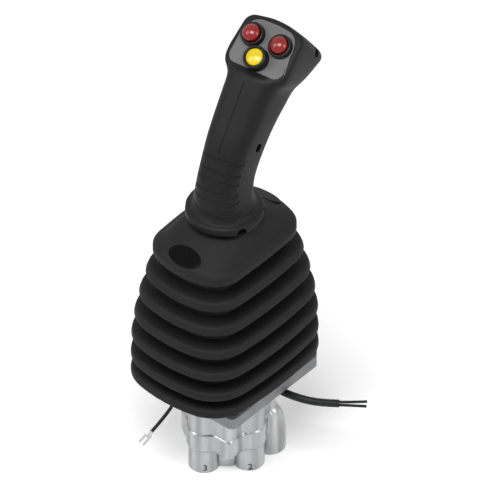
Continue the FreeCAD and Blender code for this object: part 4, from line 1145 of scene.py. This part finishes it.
def make_terminal():
    """A crimped fork: a flattened barrel, a palm and two thin prongs with rounded tips."""
    outline = [
        (-1.7, -1.4), (1.7, -1.4), (2.5, 0.3), (2.5, 7.4), (1.9, 8.1), (1.1, 8.1), (0.9, 7.6), (0.9, 2.6),
        (0.45, 2.2), (-0.45, 2.2), (-0.9, 2.6), (-0.9, 7.6), (-1.1, 8.1), (-1.9, 8.1), (-2.5, 7.4), (-2.5, 0.3),
    ]
    fork = skin("fork_palm", [[(x, t, z + 3.4) for x, z in outline] for t in (-0.38, 0.38)])
    barrel = turned("lug", [(0.6, 0.0), (1.5, 0.0), (1.62, 0.2), (1.62, 2.9), (1.3, 3.5), (0.0, 3.5)], 32)
    for vertex in barrel.data.vertices:
        flat = max(0.0, min(1.0, (vertex.co.z / MM - 1.4) / 2.1))
        vertex.co.y *= 1 - 0.6 * flat
    only(fork, barrel)
    bpy.ops.object.join()
    modify(fork, "BEVEL", width=0.12 * MM, segments=2, limit_method="ANGLE", angle_limit=math.radians(50))
    fork.name = "fork_lug"
    end, before = (Vector(point) for point in EARTH_LEAD_ROUTE[:-3:-1])
    along = (end - before).normalized()
    face = (FORK_FACE - FORK_FACE.dot(along) * along).normalized()
    turn = Matrix((face.cross(along), face, along)).transposed().to_4x4()
    settle(fork, Matrix.Translation(end) @ turn)
    smooth(fork, 35)
    finish(fork, "steel")
    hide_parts("fork_terminal")
    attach(fork, "housing")
    return fork


GLAND_FOOT = (21.5, 15.4, -9.0)


def make_gland():
    """The cable's gland: a domed nut with a rubber lip round the jacket."""
    profile = [
        (2.6, 0.1), (4.2, 0.1), (4.2, 5.2), (4.1, 5.7), (3.85, 6.3), (3.6, 6.7), (3.5, 7.0), (3.5, 7.5),
        (3.4, 7.85), (3.1, 8.0), (2.76, 8.0), (2.6, 7.8),
    ]
    gland = turned("gland_nut", profile + profile[:1], 64)
    settle(gland, ACROSS)
    settle(gland, Matrix.Translation(Vector(GLAND_FOOT) * MM))
    smooth(gland, 35)
    finish(gland, "black_rubber")
    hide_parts("cable_gland")
    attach(gland, "housing")


# Floor, backdrop and light

FLOOR_LEVEL = -71.6 * MM
LAMP_DISTANCE = 1.6
FLOOR_GLOW = 0.28
WORLD_FILL = 0.2


def seen_or_mirrored(tree):
    """1 for rays that show the backdrop: the camera's own, and those off metal or through glass."""
    ray = add_node(tree, "ShaderNodeLightPath")
    mirrored = add_node(tree, "ShaderNodeMath", operation="ADD", use_clamp=True)
    tree.links.new(ray.outputs["Is Camera Ray"], mirrored.inputs[0])
    tree.links.new(ray.outputs["Is Glossy Ray"], mirrored.inputs[1])
    through = add_node(tree, "ShaderNodeMath", operation="ADD", use_clamp=True)
    tree.links.new(mirrored.outputs[0], through.inputs[0])
    tree.links.new(ray.outputs["Is Transmission Ray"], through.inputs[1])
    return through.outputs[0]


def make_floor():
    bpy.ops.mesh.primitive_plane_add(size=6.0, location=(0, 0, FLOOR_LEVEL))
    floor = bpy.context.object
    floor.name = "studio_floor"
    material = bpy.data.materials.new("studio_white")
    material.use_nodes = True
    tree = material.node_tree
    tree.nodes.clear()
    paint = add_node(tree, "ShaderNodeBsdfDiffuse", {"Color": linear("f4f4f4")})
    glow = add_node(tree, "ShaderNodeEmission", {"Color": linear("ffffff"), "Strength": FLOOR_GLOW})
    dark = add_node(tree, "ShaderNodeEmission", {"Strength": 0.0})
    seen = add_node(tree, "ShaderNodeMixShader", links={"Fac": seen_or_mirrored(tree)})
    tree.links.new(dark.outputs[0], seen.inputs[1])
    tree.links.new(glow.outputs[0], seen.inputs[2])
    both = add_node(tree, "ShaderNodeAddShader")
    tree.links.new(paint.outputs[0], both.inputs[0])
    tree.links.new(seen.outputs[0], both.inputs[1])
    add_node(tree, "ShaderNodeOutputMaterial", links={"Surface": both.outputs[0]})
    floor.data.materials.append(material)


def make_world():
    world = bpy.data.worlds.new("studio_world")
    bpy.context.scene.world = world
    world.use_nodes = True
    tree = world.node_tree
    tree.nodes.clear()
    fill = add_node(tree, "ShaderNodeBackground", {"Color": linear("ffffff"), "Strength": WORLD_FILL})
    white = add_node(tree, "ShaderNodeBackground", {"Color": linear("ffffff"), "Strength": 1.0})
    choose = add_node(tree, "ShaderNodeMixShader", links={"Fac": seen_or_mirrored(tree)})
    tree.links.new(fill.outputs[0], choose.inputs[1])
    tree.links.new(white.outputs[0], choose.inputs[2])
    add_node(tree, "ShaderNodeOutputWorld", links={"Surface": choose.outputs[0]})


def add_lamp(name, azimuth, elevation, width, height, power):
    """A soft rectangular lamp that looks at the object, by compass angle and height in degrees."""
    turn, rise = math.radians(azimuth), math.radians(elevation)
    away = Vector((math.sin(turn) * math.cos(rise), -math.cos(turn) * math.cos(rise), math.sin(rise)))
    bpy.ops.object.light_add(type="AREA")
    lamp = bpy.context.object
    lamp.name = name
    lamp.data.shape = "RECTANGLE"
    lamp.data.size = width
    lamp.data.size_y = height
    lamp.data.energy = power
    lamp.location = VIEW_TARGET + away * LAMP_DISTANCE
    lamp.rotation_mode = "QUATERNION"
    lamp.rotation_quaternion = (-away).to_track_quat("-Z", "Y")


def make_light():
    add_lamp("lamp_over_camera", 25, 62, 0.9, 0.6, 21)
    add_lamp("lamp_left", -35, 35, 0.7, 0.9, 9)
    add_lamp("lamp_right", 100, 30, 0.6, 0.9, 8)


make_camera()
make_world()
make_floor()
make_light()
finish_nodes()
make_folds("gaiter_folds_lower", FOLD_LEVELS[0], GAITER_SPLIT)
make_folds("gaiter_folds_upper", GAITER_SPLIT, FOLDS_TOP)
make_cap()
make_badge(-1, "badge_disc_front")
make_badge(1, "badge_disc_back")
make_collar()
make_grip()
make_panel()
for key in BUTTONS:
    make_button(key)
make_body()
make_numbers()
make_softened("mounting_plate", "mounting_plate_deburred", 0.4, "plate_metal")
make_softened("gaiter_frame", "gaiter_frame_deburred", 0.3, "black_screws")
make_gland()
lay_cords()
bpy.context.scene.view_settings.view_transform = "Standard"
